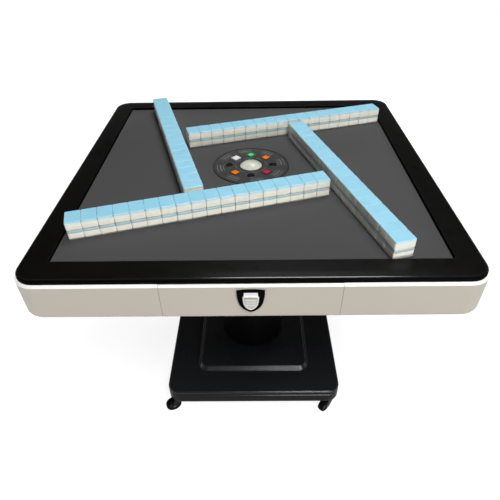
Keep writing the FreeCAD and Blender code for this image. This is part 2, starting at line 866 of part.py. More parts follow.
def make_control_box():
    # A lidded box on the pan floor with cooling fins along its top
    x = pan_bottom_half - pan_wall - box_half_x - box_corner
    case = slab(box_half_x, box_half_y, box_corner, pan_floor, pan_floor + box_height)
    fins = []
    pitch = 2 * (box_half_y - box_corner) / box_fins
    for fin in range(box_fins):
        y = (fin - (box_fins - 1) / 2) * pitch
        fins.append(block(box_corner - box_half_x, box_half_x - box_corner,
                          y - box_fin_width / 2, y + box_fin_width / 2,
                          pan_floor + box_height, pan_floor + box_height + box_fin_height))
    return moved(fused(case, fins), x, 0)


def inlet_level():
    return (base_bottom + base_top) / 2 - base_bead_height


def make_power_inlet():
    # A flanged socket through the back of the base, with three flat pins inside
    z = inlet_level()
    back = base_half
    flange = block(-inlet_width / 2, inlet_width / 2, back, back + inlet_flange,
                   z - inlet_height / 2, z + inlet_height / 2)
    upright = [e for e in flange.Edges if e.BoundBox.YLength > inlet_flange / 2]
    flange = flange.makeFillet(inlet_corner, upright)
    half_w = inlet_body_width / 2
    half_h = inlet_body_height / 2
    body = block(-half_w, half_w, back - inlet_body_depth, back, z - half_h, z + half_h)
    hollow = block(inlet_wall - half_w, half_w - inlet_wall, back - inlet_body_depth + inlet_wall,
                   back + inlet_flange + overrun, z + inlet_wall - half_h, z + half_h - inlet_wall)
    socket = fused(flange, [body]).cut(hollow)
    pins = []
    root = back - inlet_body_depth
    for pin in range(inlet_pins):
        x = (pin - (inlet_pins - 1) / 2) * inlet_pin_pitch
        pins.append(block(x - inlet_pin_width / 2, x + inlet_pin_width / 2, root, root + inlet_pin_length,
                          z - inlet_pin_height / 2, z + inlet_pin_height / 2))
    return fused(socket, pins)


# Column and base

def make_column():
    # A tube with a welded head flange, braced by four gussets
    tube = rod(column_radius, ballast_top, column_top)
    head = rod(flange_radius, column_top, pan_bottom)
    gussets = []
    inner = column_radius - column_wall
    for side in range(sides):
        points = [V(inner, 0, column_top), V(column_radius + gusset_reach, 0, column_top),
                  V(column_radius, 0, column_top - gusset_height), V(inner, 0, column_top - gusset_height)]
        fin = Part.Face(Part.makePolygon(points + points[:1])).extrude(V(0, gusset_thickness, 0))
        gussets.append(turned(moved(fin, 0, -gusset_thickness / 2), side))
    return fused(tube, [head] + gussets).cut(rod(inner, ballast_top - overrun, column_top))


def cover_form(inset):
    # The pressed cover's form, shrunk by an inset: a rounded square with a raised pad
    half = base_half - inset
    top = base_top - inset
    plate = slab(half, half, base_corner - inset, base_bottom - inset, top)
    plate = plate.makeFillet(base_round - inset, edges_at(plate, top))
    pad_x = pad_half_x - inset
    pad_y = pad_half_y - inset
    corner = pad_corner - inset
    pad = taper((pad_x, pad_y, corner, top),
                (pad_x - pad_slope, pad_y - pad_slope, corner, pad_top - inset))
    return plate.fuse(pad).removeSplitter()


def make_base_cover():
    cover = cover_form(0.0)
    bead_top = base_top - base_bead_drop
    groove_half = base_half - base_bead_depth
    band_half = base_half + overrun
    band = slab(band_half, band_half, base_corner, bead_top - base_bead_height, bead_top)
    band = band.cut(slab(groove_half, groove_half, base_corner - base_bead_depth,
                         bead_top - base_bead_height - overrun, bead_top + overrun))
    inlet_z = inlet_level()
    half_w = inlet_body_width / 2 + running_gap
    half_h = inlet_body_height / 2 + running_gap
    hole = block(-half_w, half_w, base_half - inlet_body_depth, base_half + overrun,
                 inlet_z - half_h, inlet_z + half_h)
    column_hole = rod(column_radius + running_gap, base_bottom - overrun, pad_top + overrun)
    return cover.cut([cover_form(base_wall), band, hole, column_hole])


def make_base_frame():
    # A ballast plate with the column socket and a boss for each caster stem
    half = base_half - base_wall - ballast_gap
    corner = base_corner - base_wall
    plate = slab(half, half, corner, ballast_bottom, ballast_top)
    socket_inner = column_radius + running_gap
    socket = rod(socket_inner + socket_wall, ballast_top, pad_top - base_wall)
    socket = socket.cut(rod(socket_inner, ballast_top, pad_top))
    bosses = []
    bores = []
    for sx, sy in caster_signs:
        x = sx * caster_place
        y = sy * caster_place
        bosses.append(rod(caster_boss_radius, caster_boss_bottom, caster_boss_top, x, y))
        bores.append(rod(stem_radius + running_gap, caster_boss_bottom - overrun,
                         caster_boss_top - socket_wall + stem_top_gap, x, y))
    inlet_room = block(-inlet_width / 2, inlet_width / 2, base_half - 2 * inlet_body_depth, base_half,
                       ballast_bottom - overrun, ballast_top + overrun)
    return fused(plate, [socket] + bosses).cut(bores + [inlet_room])


# Casters

def set_caster(shape, index):
    # From caster coordinates, trailing along X, to its corner and heading
    copy = shape.copy()
    copy.rotate(V(0, 0, 0), V(0, 0, 1), caster_headings[index])
    sx, sy = caster_signs[index]
    copy.translate(V(sx * caster_place, sy * caster_place, 0))
    return copy


def make_caster_fork(index):
    # Swivel head and stem, two cheeks that lean back to the axle, and the axle
    cheeks = []
    tilt = [V(-swivel_radius, 0, swivel_bottom), V(swivel_radius, 0, swivel_bottom),
            V(caster_trail + fork_foot_radius, 0, wheel_radius),
            V(caster_trail, 0, wheel_radius - fork_foot_radius),
            V(caster_trail - fork_foot_radius, 0, wheel_radius)]
    cheek = Part.Face(Part.makePolygon(tilt + tilt[:1])).extrude(V(0, fork_wall, 0))
    cheeks.append(moved(cheek, 0, fork_cheek))
    cheeks.append(moved(cheek, 0, -fork_cheek - fork_wall))
    half = fork_cheek + fork_wall
    bridge = block(-swivel_radius, swivel_radius, -half, half, swivel_bottom, swivel_bottom + fork_hood)
    head = rod(swivel_radius, swivel_bottom, swivel_top)
    stem_top = caster_boss_top - socket_wall
    stem = rod(stem_radius, swivel_bottom, stem_top)
    axle = Part.makeCylinder(axle_radius, 2 * half, V(caster_trail, -half, wheel_radius), V(0, 1, 0))
    return set_caster(fused(head, cheeks + [bridge, stem, axle]), index)


def make_caster_wheel(index):
    # A rounded tread, dished on both faces, bored for the axle
    half = wheel_width / 2
    bore = axle_radius + running_gap
    shoulder = wheel_radius - wheel_round
    wheel = revolve([(bore, wheel_dish_depth - half), (wheel_dish_radius, wheel_dish_depth - half),
                     (wheel_dish_radius + wheel_dish_depth, -half), (shoulder, -half),
                     (wheel_radius, wheel_round - half), (wheel_radius, half - wheel_round),
                     (shoulder, half), (wheel_dish_radius + wheel_dish_depth, half),
                     (wheel_dish_radius, half - wheel_dish_depth),
                     (bore, half - wheel_dish_depth)])
    wheel.rotate(V(0, 0, 0), V(1, 0, 0), side_turn)
    return set_caster(moved(wheel, caster_trail, 0, wheel_radius), index)


def make_all():
    ring = skirt_ring()
    nodes = {
        "base_cover": make_base_cover(),
        "base_frame": make_base_frame(),
        "column": make_column(),
        "belly_pan": make_belly_pan(),
        "chassis_floor": make_chassis_floor(),
        "chassis_frame": make_chassis_frame(),
        "skirt_corners": make_skirt_corners(ring),
        "top_frame": make_top_frame(),
        "top_board": make_top_board(),
        "play_cloth": make_play_cloth(),
        "hopper_bowl": make_hopper_bowl(),
        "turntable": make_turntable(),
        "centre_post": make_centre_post(),
        "drawer_runners": make_drawer_runners(),
        "tile_channels": make_tile_channels(),
        "riser_guides": make_riser_guides(),
        "control_box": make_control_box(),
        "drive_motors": make_drive_motors(),
        "power_inlet": make_power_inlet(),
        "disc_housing": make_disc_housing(),
        "disc_face": make_disc_face(),
        "dice_dome": make_dice_dome(),
        "dice_tray": make_dice_tray(),
        "dice": make_dice(),
    }
    for index in range(2 * sides):
        nodes["key_%d" % (index + 1)] = make_key(index)
    for side, name in enumerate(side_names):
        nodes["drawer_front_" + name] = make_drawer_front(ring, side)
        nodes["drawer_tray_" + name] = make_drawer_tray(side)
        nodes["drawer_pull_" + name] = make_drawer_pull(side)
        nodes["riser_" + name] = make_riser(side)
        nodes["tile_wall_" + name] = make_tile_wall(side)
    for index, name in enumerate(caster_names):
        nodes["caster_fork_" + name] = make_caster_fork(index)
        nodes["caster_wheel_" + name] = make_caster_wheel(index)
    return nodes


def main():
    os.makedirs("parts", exist_ok=True)
    for name, shape in make_all().items():
        shape.exportStep(os.path.join("parts", name + ".step"))
        print(name, len(shape.Solids), shape.isValid(), round(shape.Volume))


main()
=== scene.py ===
import json
import math

import bmesh
import bpy
import numpy as np
from mathutils import Matrix, Vector
from mathutils.geometry import delaunay_2d_cdt


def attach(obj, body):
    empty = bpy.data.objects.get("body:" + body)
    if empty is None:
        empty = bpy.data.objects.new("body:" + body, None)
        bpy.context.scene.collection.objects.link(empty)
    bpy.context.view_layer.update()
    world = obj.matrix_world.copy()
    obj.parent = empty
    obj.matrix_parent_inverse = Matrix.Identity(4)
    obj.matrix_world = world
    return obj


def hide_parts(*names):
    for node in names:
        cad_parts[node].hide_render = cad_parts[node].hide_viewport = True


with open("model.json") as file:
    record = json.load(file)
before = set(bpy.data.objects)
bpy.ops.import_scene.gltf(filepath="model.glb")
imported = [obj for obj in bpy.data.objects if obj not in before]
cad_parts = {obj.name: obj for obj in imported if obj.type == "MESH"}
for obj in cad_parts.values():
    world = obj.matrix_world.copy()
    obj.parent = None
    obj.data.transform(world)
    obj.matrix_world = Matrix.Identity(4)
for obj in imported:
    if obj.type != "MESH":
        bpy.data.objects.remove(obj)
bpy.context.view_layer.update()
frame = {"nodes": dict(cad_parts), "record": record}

mm = 0.001                                   # pieces are drawn in millimetres
scene = bpy.context.scene
nodes = frame["nodes"]
bodies = frame["record"]["behaviour"]["bodies"]
bodyOf = {node: body for body, members in bodies.items() for node in members}
sideNames = ["front", "right", "back", "left"]
print("frame loaded:", len(nodes), "nodes")


# mesh helpers

# the smallest angle, length, rise and step that count, and what is welded or dropped in a finished mesh
limit = dict(angle=1e-3, length=1e-9, rise=1e-12, step=1e-5, weld=2e-6, edge=1e-7)
bevelled = dict(steps=2, angle=50)


def take(values, names):    # several values of a dictionary
    return [values[name] for name in names.split()]


def patch(points, closeRows=True, closeCols=False, finish=0):
    # a grid of points and its quads, joined round where it closes; finish is one index, or one for each strip
    rows, cols = points.shape[:2]
    i = np.arange(rows if closeRows else rows - 1)[:, None]
    j = np.arange(cols if closeCols else cols - 1)
    ni, nj = (i + 1) % rows, (j + 1) % cols
    corners = np.broadcast_arrays(i * cols + j, ni * cols + j, ni * cols + nj, i * cols + nj)
    marks = np.tile(np.broadcast_to(finish, len(j)), len(i))
    return points.reshape(-1, 3), np.stack(corners, -1).reshape(-1, 4), marks


def cap(points, col, finish=0):
    # one flat face across the first or the last loop of a grid
    loop = points[:, col]
    order = np.arange(len(loop))
    return loop, (order if col else order[::-1])[None, :], np.array([finish])


def turned(profile, steps, middle=(0, 0), finish=0, closed=False):
    # each profile point (radius, height) goes once round an upright axis in even steps
    turn = np.arange(steps) * (2 * np.pi / steps)
    radius, height = np.asarray(profile, float).T
    x = middle[0] + np.outer(np.cos(turn), radius)
    y = middle[1] + np.outer(np.sin(turn), radius)
    return patch(np.stack([x, y, np.broadcast_to(height, x.shape)], -1), True, closed, finish)


def loopGrid(halfX, halfY, corner, height, steps, cornerY=None):
    # a rounded rectangle for each profile point: quarter turns of the corner's radius about four centres;
    # cornerY makes them quarters of an ellipse
    cornerY = corner if cornerY is None else cornerY
    values = [np.atleast_1d(np.asarray(v, float)) for v in (halfX, halfY, corner, cornerY, height)]
    halfX, halfY, corner, cornerY, height = np.broadcast_arrays(*values)
    turn = ((np.arange(4)[:, None] + np.linspace(0, 1, steps + 1)) * (np.pi / 2)).ravel()
    signX = np.repeat([1, -1, -1, 1], steps + 1)
    signY = np.repeat([1, 1, -1, -1], steps + 1)
    x = np.outer(signX, halfX - corner) + np.outer(np.cos(turn), corner)
    y = np.outer(signY, halfY - cornerY) + np.outer(np.sin(turn), cornerY)
    return np.stack([x, y, np.broadcast_to(height, x.shape)], -1)


def roundCorners(points, rounds, steps=4):
    # each corner of a flat outline becomes an arc tangent to its two edges; radius 0 keeps the corner
    p, radii = np.array(points, float), np.array(rounds, float)[:, None]
    back, ahead = np.roll(p, 1, 0) - p, np.roll(p, -1, 0) - p
    back /= np.linalg.norm(back, axis=1, keepdims=True)
    ahead /= np.linalg.norm(ahead, axis=1, keepdims=True)
    half = np.arccos(np.clip((back * ahead).sum(1, keepdims=True), -1, 1)) / 2
    half = np.clip(half, limit["angle"], np.pi / 2 - limit["angle"])
    middle = back + ahead
    middle /= np.maximum(np.linalg.norm(middle, axis=1, keepdims=True), limit["length"])
    centre = p + middle * (radii / np.sin(half))
    start, end = (p + way * (radii / np.tan(half)) - centre for way in (back, ahead))
    sweep, share = np.pi - 2 * half, np.linspace(0, 1, steps + 1)
    first, last = ((np.sin(part * sweep) / np.sin(sweep))[..., None] for part in (1 - share, share))
    made = (centre[:, None] + first * start[:, None] + last * end[:, None]).reshape(-1, 2)
    return made[np.linalg.norm(np.diff(made, axis=0, prepend=made[-1:]), axis=1) > limit["step"]]


def arcThrough(start, via, end, steps):
    # points of the circle through three points, evenly turned from the first to the last
    a, b, c = (np.asarray(p, float) for p in (start, via, end))
    lines = 2 * np.array([b - a, c - a])
    centre = np.linalg.solve(lines, np.array([b @ b - a @ a, c @ c - a @ a]))
    angles = np.unwrap([math.atan2(*(p - centre)[::-1]) for p in (a, b, c)])
    turn = np.linspace(angles[0], angles[2], steps + 1)
    return centre + np.linalg.norm(a - centre) * np.stack([np.cos(turn), np.sin(turn)], -1)


def spun(points, degrees):
    # points turned about the upright axis
    a = math.radians(degrees)
    spin = np.eye(3)
    spin[:2, :2] = [[math.cos(a), math.sin(a)], [-math.sin(a), math.cos(a)]]
    return points @ spin[:points.shape[-1], :points.shape[-1]]


def placed(patches, degrees=0, shift=(0, 0, 0)):
    return [(spun(points.reshape(-1, 3), degrees) + shift, faces, marks) for points, faces, marks in patches]


def upright(points):
    # from a front view (right, up, towards the viewer) to the table's axes; it also lays an upright axis level
    return np.stack([points[..., 0], -points[..., 2], points[..., 1]], -1)


def outline(half, corner, steps, hole, middle=(0, 0), turn=0):
    # a rounded rectangle in its place, as the edge of a plate or of a hole in it
    return dict(half=np.broadcast_to(half, 2), corner=corner, steps=steps, hole=hole, middle=middle, turn=turn)


def outlineLoop(shape, inset):
    # the outline drawn in by the inset, or grown by it where it is a hole
    grow = inset if shape["hole"] else -inset
    loop = loopGrid(*(shape["half"] + grow), shape["corner"] + grow, 0, shape["steps"])
    return spun(loop[:, 0, :2], shape["turn"]) + shape["middle"]


def filled(loops, up):
    # flat triangles between an outline and its holes: those with an odd number of edges to the right of them
    flat = np.concatenate([loop[:, :2] for loop in loops])
    sizes = [len(loop) for loop in loops]
    starts = np.cumsum([0] + sizes[:-1])
    edges = np.concatenate([np.c_[s + np.arange(n), s + (np.arange(n) + 1) % n] for s, n in zip(starts, sizes)])
    made = delaunay_2d_cdt(flat.tolist(), edges.tolist(), [], 0, limit["step"])
    points, faces = np.array(made[0], float), np.array(made[2], int)
    (ax, ay), (bx, by) = flat[edges[:, 0]].T, flat[edges[:, 1]].T
    x, y = points[faces].mean(1).T[..., None]
    rise = np.where(np.abs(by - ay) < limit["rise"], limit["rise"], by - ay)
    crossed = (x < ax + (y - ay) * (bx - ax) / rise) & ((ay > y) != (by > y))
    faces = faces[crossed.sum(1) % 2 == 1]
    side = points[faces]
    one, two = side[:, 1] - side[:, 0], side[:, 2] - side[:, 0]
    wrong = (one[:, 0] * two[:, 1] - one[:, 1] * two[:, 0] > 0) != up
    faces[wrong] = faces[wrong][:, ::-1]
    return np.c_[points, np.full(len(points), loops[0][0, 2])], faces, np.zeros(len(faces))


def plate(outlines, low, high, lip, steps=3):
    # every outline goes up from the low level and rolls over the lip into the top; triangles fill both faces
    turn = np.linspace(0, np.pi / 2, steps + 1)
    insets = np.r_[0, lip * (1 - np.cos(turn))]
    levels = np.r_[low, high - lip + lip * np.sin(turn)]
    walls = []
    for shape in outlines:
        loops = [outlineLoop(shape, inset) for inset in insets]
        wall = np.stack([np.c_[loop, np.full(len(loop), z)] for loop, z in zip(loops, levels)], 1)
        walls.append(wall[::-1] if shape["hole"] else wall)
    ends = [filled([wall[:, -1] for wall in walls], True), filled([wall[:, 0] for wall in walls], False)]
    return [patch(wall) for wall in walls] + ends


def closedEnds(grid, finish=0, top=None):
    # a grid of loops, shut at both ends; top is the last end's own finish
    return [patch(grid, finish=finish), cap(grid, 0, finish), cap(grid, -1, finish if top is None else top)]


def stationLoft(section, stations):
    # a flat outline (x, z) carried along y from station to station, at each drawn in to a share of its size
    middle = section.mean(0)
    rings = []
    for y, share in stations:
        ring = middle + (section - middle) * share
        rings.append(np.c_[ring[:, 0], np.full(len(ring), y), ring[:, 1]])
    return closedEnds(np.stack(rings, 1))


def slabLoft(section, low, high, ease, share):
    # a flat outline carried straight from the high y to the low, drawn in at both faces
    return stationLoft(section, [(high, share), (high - ease, 1), (low + ease, 1), (low, share)])


def roundedBar(halfX, halfY, low, high, corner, lip, steps, finish=0):
    # a rounded rectangle carried up, with its upper and lower edges rolled over
    turn = np.linspace(0, np.pi / 2, steps + 1)
    inset = np.r_[lip * (1 - np.sin(turn)), lip * (1 - np.cos(turn))]
    level = np.r_[low + lip * (1 - np.cos(turn)), high - lip + lip * np.sin(turn)]
    return closedEnds(loopGrid(halfX - inset, halfY - inset, corner - inset, level, steps), finish)


def addObject(name, data):
    made = bpy.data.objects.new(name, data)
    scene.collection.objects.link(made)
    return made


def putPiece(name, patches, looks, node, slot, wall=0, edge=0, sharp=40):
    # joins patches into one mesh at the origin; wall thickens an open surface inwards, edge rounds its edges
    parts, faces, marks = zip(*patches)
    starts = np.cumsum([0] + [len(points) for points in parts])
    faces = [face for some, start in zip(faces, starts) for face in (some + start).tolist()]
    mesh = bpy.data.meshes.new(name)
    mesh.from_pydata((np.concatenate(parts) * mm).tolist(), [], faces)
    mesh.polygons.foreach_set("material_index", np.concatenate(marks).astype(np.int32))
    merged = bmesh.new()
    merged.from_mesh(mesh)
    bmesh.ops.remove_doubles(merged, verts=merged.verts, dist=limit["weld"])
    bmesh.ops.dissolve_degenerate(merged, edges=merged.edges, dist=limit["edge"])
    merged.to_mesh(mesh)
    merged.free()
    for look in looks:
        mesh.materials.append(finishes[look])
    mesh.shade_smooth()
    piece = addObject(name, mesh)
    if wall:
        solid = piece.modifiers.new("wall", "SOLIDIFY")
        solid.thickness, solid.offset, solid.use_even_offset = wall * mm, -1, True
    if edge:
        bevel = piece.modifiers.new("edge", "BEVEL")
        bevel.width, bevel.segments, bevel.limit_method = edge * mm, bevelled["steps"], "ANGLE"
        bevel.angle_limit = math.radians(bevelled["angle"])
    else:
        mesh.set_sharp_from_angle(angle=math.radians(sharp))
    even = piece.modifiers.new("evenShade", "WEIGHTED_NORMAL")
    even.keep_sharp = True
    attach(piece, bodyOf[node])
    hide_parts(node)
    return piece


def putSides(name, patches, looks, node, slot, **how):
    # the same piece on all four sides
    for side, sideName in enumerate(sideNames):
        putPiece(name + sideName, placed(patches, side * 90), looks, node + sideName, slot, **how)


# finishes

finishes = {}


def paint(red, green, blue):    # screen values to the linear light that a shader takes
    c = np.array([red, green, blue]) / 255
    linear = np.where(c <= 0.04045, c / 12.92, ((c + 0.055) / 1.055) ** 2.4)
    return (*linear.tolist(), 1)


def shade(colour, share):    # the same colour, lighter or darker
    return (*(min(1, c * share) for c in colour[:3]), 1)


def addNode(mat, kind, inputs=None, **settings):
    node = mat.node_tree.nodes.new("ShaderNode" + kind)
    for key, value in settings.items():
        setattr(node, key, value)
    for key, value in (inputs or {}).items():
        if isinstance(value, bpy.types.NodeSocket):
            mat.node_tree.links.new(value, node.inputs[key])
        else:
            node.inputs[key].default_value = value
    return node


def newFinish(name, sockets):
    # a material, and the object coordinates that its patterns take
    mat = bpy.data.materials.new(name)
    mat.use_nodes = True
    for key, value in sockets.items():
        mat.node_tree.nodes["Principled BSDF"].inputs[key].default_value = value
    finishes[name] = mat
    return mat, addNode(mat, "TexCoord").outputs["Object"]


def link(mat, output, key, shader="Principled BSDF"):
    mat.node_tree.links.new(output, mat.node_tree.nodes[shader].inputs[key])


def noise(mat, where, scale, detail=2):
    return addNode(mat, "TexNoise", {"Vector": where, "Scale": scale, "Detail": detail}).outputs[0]


def spread(mat, value, low=0, high=1, start=0.3, end=0.7):
    return addNode(mat, "MapRange", {"Value": value, "From Min": start, "From Max": end,
                                     "To Min": low, "To Max": high}).outputs[0]


def math2(mat, operation, one, two=0):
    return addNode(mat, "Math", {0: one, 1: two}, operation=operation).outputs[0]


def blend(mat, share, one, two):
    return addNode(mat, "Mix", {0: share, 6: one, 7: two}, data_type="RGBA").outputs[2]


def dress(mat, base, rough, grain, height, depth=0.0002):
    # colour, gloss and bump into the shader; no base leaves its own colour
    if base:
        link(mat, base, "Base Color")
    link(mat, rough, "Roughness")
    bump = addNode(mat, "Bump", {"Strength": grain, "Distance": depth, "Height": height})
    link(mat, bump.outputs[0], "Normal")


mouldedLook = dict(cloud=None, drift=0.05, driftScale=7, gloss=0.15, glossScale=9, grain=0.1, grainScale=1400,
                   speck=0.03, speckSpan=(0.55, 0.8), speckLift=1.8, shine=0.5, metal=0, coat=0, coatRough=0.03)


def mouldedFinish(name, colour, rough, **changes):
    # colour and gloss that drift slowly, specks, and a fine grain in the surface; a cloud colour stands for the
    # drift, and with no gloss scale the gloss goes with the colour
    look = {**mouldedLook, **changes}
    drift, gloss, scale, glossScale = take(look, "drift gloss driftScale glossScale")
    mat, where = newFinish(name, {"Specular IOR Level": look["shine"], "Metallic": look["metal"],
                                  "Coat Weight": look["coat"], "Coat Roughness": look["coatRough"]})
    tint = paint(*(look["cloud"] or colour))
    tints = [paint(*colour), tint] if look["cloud"] else [shade(tint, 1 - drift), shade(tint, 1 + drift)]
    slow = noise(mat, where, scale, 3)
    fine = noise(mat, where, look["grainScale"])
    specks = spread(mat, fine, 0, look["speck"], *look["speckSpan"])
    base = blend(mat, specks, blend(mat, spread(mat, slow), *tints), shade(tint, look["speckLift"]))
    shine = noise(mat, where, scale * glossScale, 4) if glossScale else slow
    dress(mat, base, spread(mat, shine, rough * (1 - gloss), rough * (1 + gloss)), look["grain"], fine)


# colour, roughness, and what differs from the look above
mouldedFinishes = dict(
    rimBlack=((11, 10, 9), 0.32, dict(drift=0.18, driftScale=4, grain=0.12, shine=0.11)),
    # painted highlight: the start of the rim's outer round, a little lighter and glossier
    rimGlint=((20, 19, 18), 0.17, dict(drift=0.1, grain=0.04, shine=1)),
    # painted shade: the rim's outer lip and inner face, darker and matt
    rimShadeBlack=((4, 4, 4), 0.6, dict(speck=0, shine=0.02)),
    baseBlack=((29, 30, 32), 0.22, dict(grain=0.012, shine=0.42)),
    # painted shade: the base cover's steep sides, darker and matt
    baseSideShaded=((14, 14, 13), 0.4, dict(grain=0.03, shine=0.06)),
    # painted shade: the column under the table, near black and matt
    columnShadedBlack=((3, 3, 3), 0.5, dict(grain=0.06, shine=0.05)),
    panBlack=((9, 9, 10), 0.6, dict(grain=0.14, shine=0.12)),
    skirtWhite=((177, 171, 159), 0.42, dict(drift=0.02, driftScale=3, grain=0.06)),
    # painted highlight: the skirt's up-facing bevel, near white
    bevelHighlightWhite=((252, 251, 248), 0.28, dict(drift=0.01, grain=0.03, coat=0.6, coatRough=0.15)),
    innerPlastic=((58, 59, 61), 0.5, dict(grain=0.2, grainScale=900)),
    discBlack=((50, 49, 50), 0.4, dict(grain=0.08, shine=0.3)),
    bezelGrey=((84, 84, 86), 0.35, dict(drift=0.06, grain=0.05, metal=0.4)),
    bezelGreen=((18, 104, 58), 0.35, dict(grain=0.05)),
    pullBlack=((4, 4, 4), 0.4, dict(grain=0.04, speck=0, shine=0.02)),
    # painted highlight: the up-facing crest of the pull's neck
    pullCrestHighlight=((250, 249, 246), 0.32, dict(drift=0.02, grain=0.05, coat=0.3)),
    pullPale=((212, 210, 205), 0.32, dict(drift=0.03, grain=0.06, coat=0.3)),
    pullPanel=((178, 176, 168), 0.4, dict(grain=0.2)),
    trayIvory=((247, 249, 237), 0.5, dict(grain=0.08)),
    diceIvory=((240, 234, 218), 0.4, dict(grain=0.05)),
    pipDark=((30, 30, 36), 0.4, dict()),
    pipRed=((176, 30, 34), 0.4, dict()),
    rubber=((5, 5, 6), 0.75, dict(grain=0.3, grainScale=800, shine=0.05)),
    casterBlack=((5, 5, 6), 0.4, dict(grain=0.15, shine=0.08)),
    inletBlack=((20, 20, 21), 0.5, dict(grain=0.2)),
    motorGrey=((92, 95, 99), 0.45, dict(metal=0.5)),
    ballastIron=((38, 38, 40), 0.7, dict(drift=0.2, grain=0.6, grainScale=260, metal=0.4)))

metalLook = dict(turn=0.3, streakScale=900, cloudScale=14, tints=(0.85, 1.12), gloss=(0.7, 1.3), grain=0.12)


def metalFinish(name, colour, rough, stretch):
    # fine lines drawn out along one axis, with slow clouds in the colour
    m = metalLook
    mat, where = newFinish(name, {"Metallic": 1, "Anisotropic": m["turn"]})
    lines = addNode(mat, "Mapping", {"Vector": where, "Scale": stretch}).outputs[0]
    streak = noise(mat, lines, m["streakScale"], 3)
    cloud = noise(mat, where, m["cloudScale"], 4)
    base = blend(mat, spread(mat, cloud), *(shade(paint(*colour), share) for share in m["tints"]))
    dress(mat, base, spread(mat, streak, *(rough * share for share in m["gloss"])), m["grain"], streak)


metalFinishes = dict(zincSteel=dict(colour=(190, 194, 198), rough=0.34, stretch=(1, 0.05, 1)),
                     risersAlu=dict(colour=(206, 208, 210), rough=0.32, stretch=(0.05, 1, 1)),
                     brass=dict(colour=(196, 160, 92), rough=0.3, stretch=(1, 1, 0.05)))

boardLook = dict(stretch=(1, 0.12, 1), scale=420, dark=(150, 118, 82), pale=(188, 154, 112), rough=(0.65, 0.85),
                 grain=0.4, depth=0.0003)


def boardFinish():
    # pressed fibre: long fibres and a rough surface
    b = boardLook
    mat, where = newFinish("boardWood", {})
    fibre = addNode(mat, "Mapping", {"Vector": where, "Scale": b["stretch"]}).outputs[0]
    grain = noise(mat, fibre, b["scale"], 5)
    base = blend(mat, spread(mat, grain), paint(*b["dark"]), paint(*b["pale"]))
    dress(mat, base, spread(mat, grain, *b["rough"]), b["grain"], grain, b["depth"])


clothLook = dict(sheen=0.25, sheenRough=0.45, sheenTint=(170, 170, 176), shine=0.15, weave=5200, napScale=1500,
                 cloudScale=5, dark=(65, 65, 66), pale=(83, 83, 84), cloud=(81, 80, 81), cloudShare=0.35,
                 rough=(0.85, 1), weaveShare=0.25, grain=0.35, depth=0.00025)


def clothFinish():
    # brushed nap over a fine weave: two crossed waves, short fibres, and slow clouds where the nap lies over
    c = clothLook
    mat, where = newFinish("clothGrey", {"Sheen Weight": c["sheen"], "Sheen Roughness": c["sheenRough"],
                                         "Sheen Tint": paint(*c["sheenTint"]), "Specular IOR Level": c["shine"]})
    across = addNode(mat, "SeparateXYZ", {0: where}).outputs[:2]
    waves = [math2(mat, "SINE", math2(mat, "MULTIPLY", way, c["weave"])) for way in across]
    nap = noise(mat, where, c["napScale"], 3)
    cloud = noise(mat, where, c["cloudScale"], 3)
    base = blend(mat, spread(mat, nap), paint(*c["dark"]), paint(*c["pale"]))
    base = blend(mat, spread(mat, cloud, 0, c["cloudShare"]), base, paint(*c["cloud"]))
    weave = math2(mat, "MULTIPLY", math2(mat, "MULTIPLY", *waves), c["weaveShare"])
    dress(mat, base, spread(mat, nap, *c["rough"]), c["grain"], math2(mat, "ADD", weave, nap), c["depth"])


# cast resin: milky clouds inside, a polished face with faint waves
tileLook = dict(driftScale=36, gloss=0.2, glossScale=0, grain=0.05, grainScale=800, speck=0.08,
                speckSpan=(0.5, 0.8), speckLift=1.12)
# painted light among the tile finishes: a paler lit copy of the blue layer's side, a grey-blue painted shade for
# the groove between the layers, and a paler blue painted highlight on the upper tiles' side edges
tileFinishes = dict(tileIvory=dict(colour=(244, 241, 226), cloud=(249, 246, 233), rough=0.26),
                    tileBlue=dict(colour=(151, 214, 238), cloud=(158, 219, 242), rough=0.42),
                    tileBlueSideLit=dict(colour=(214, 234, 234), cloud=(222, 240, 238), rough=0.26),
                    tileEdgeHighlight=dict(colour=(170, 219, 238), cloud=(178, 224, 241), rough=0.3),
                    tileGrooveShade=dict(colour=(160, 186, 190), cloud=(168, 193, 196), rough=0.4))

discLook = dict(shine=0.35, reach=105, dark=(50, 49, 50), pale=(60, 59, 60), arc=(176, 178, 182), arcShare=0.55,
                arcs=[(42, 0.35), (76, 0.35), (83.5, 0.6), (92, 0.35)], breaks=8, breakSpan=(-0.2, 0),
                ring=(33.2, 33.9), ringBlack=(10, 10, 11), fineScale=1200, rough=(0.4, 0.55), grain=0.06)


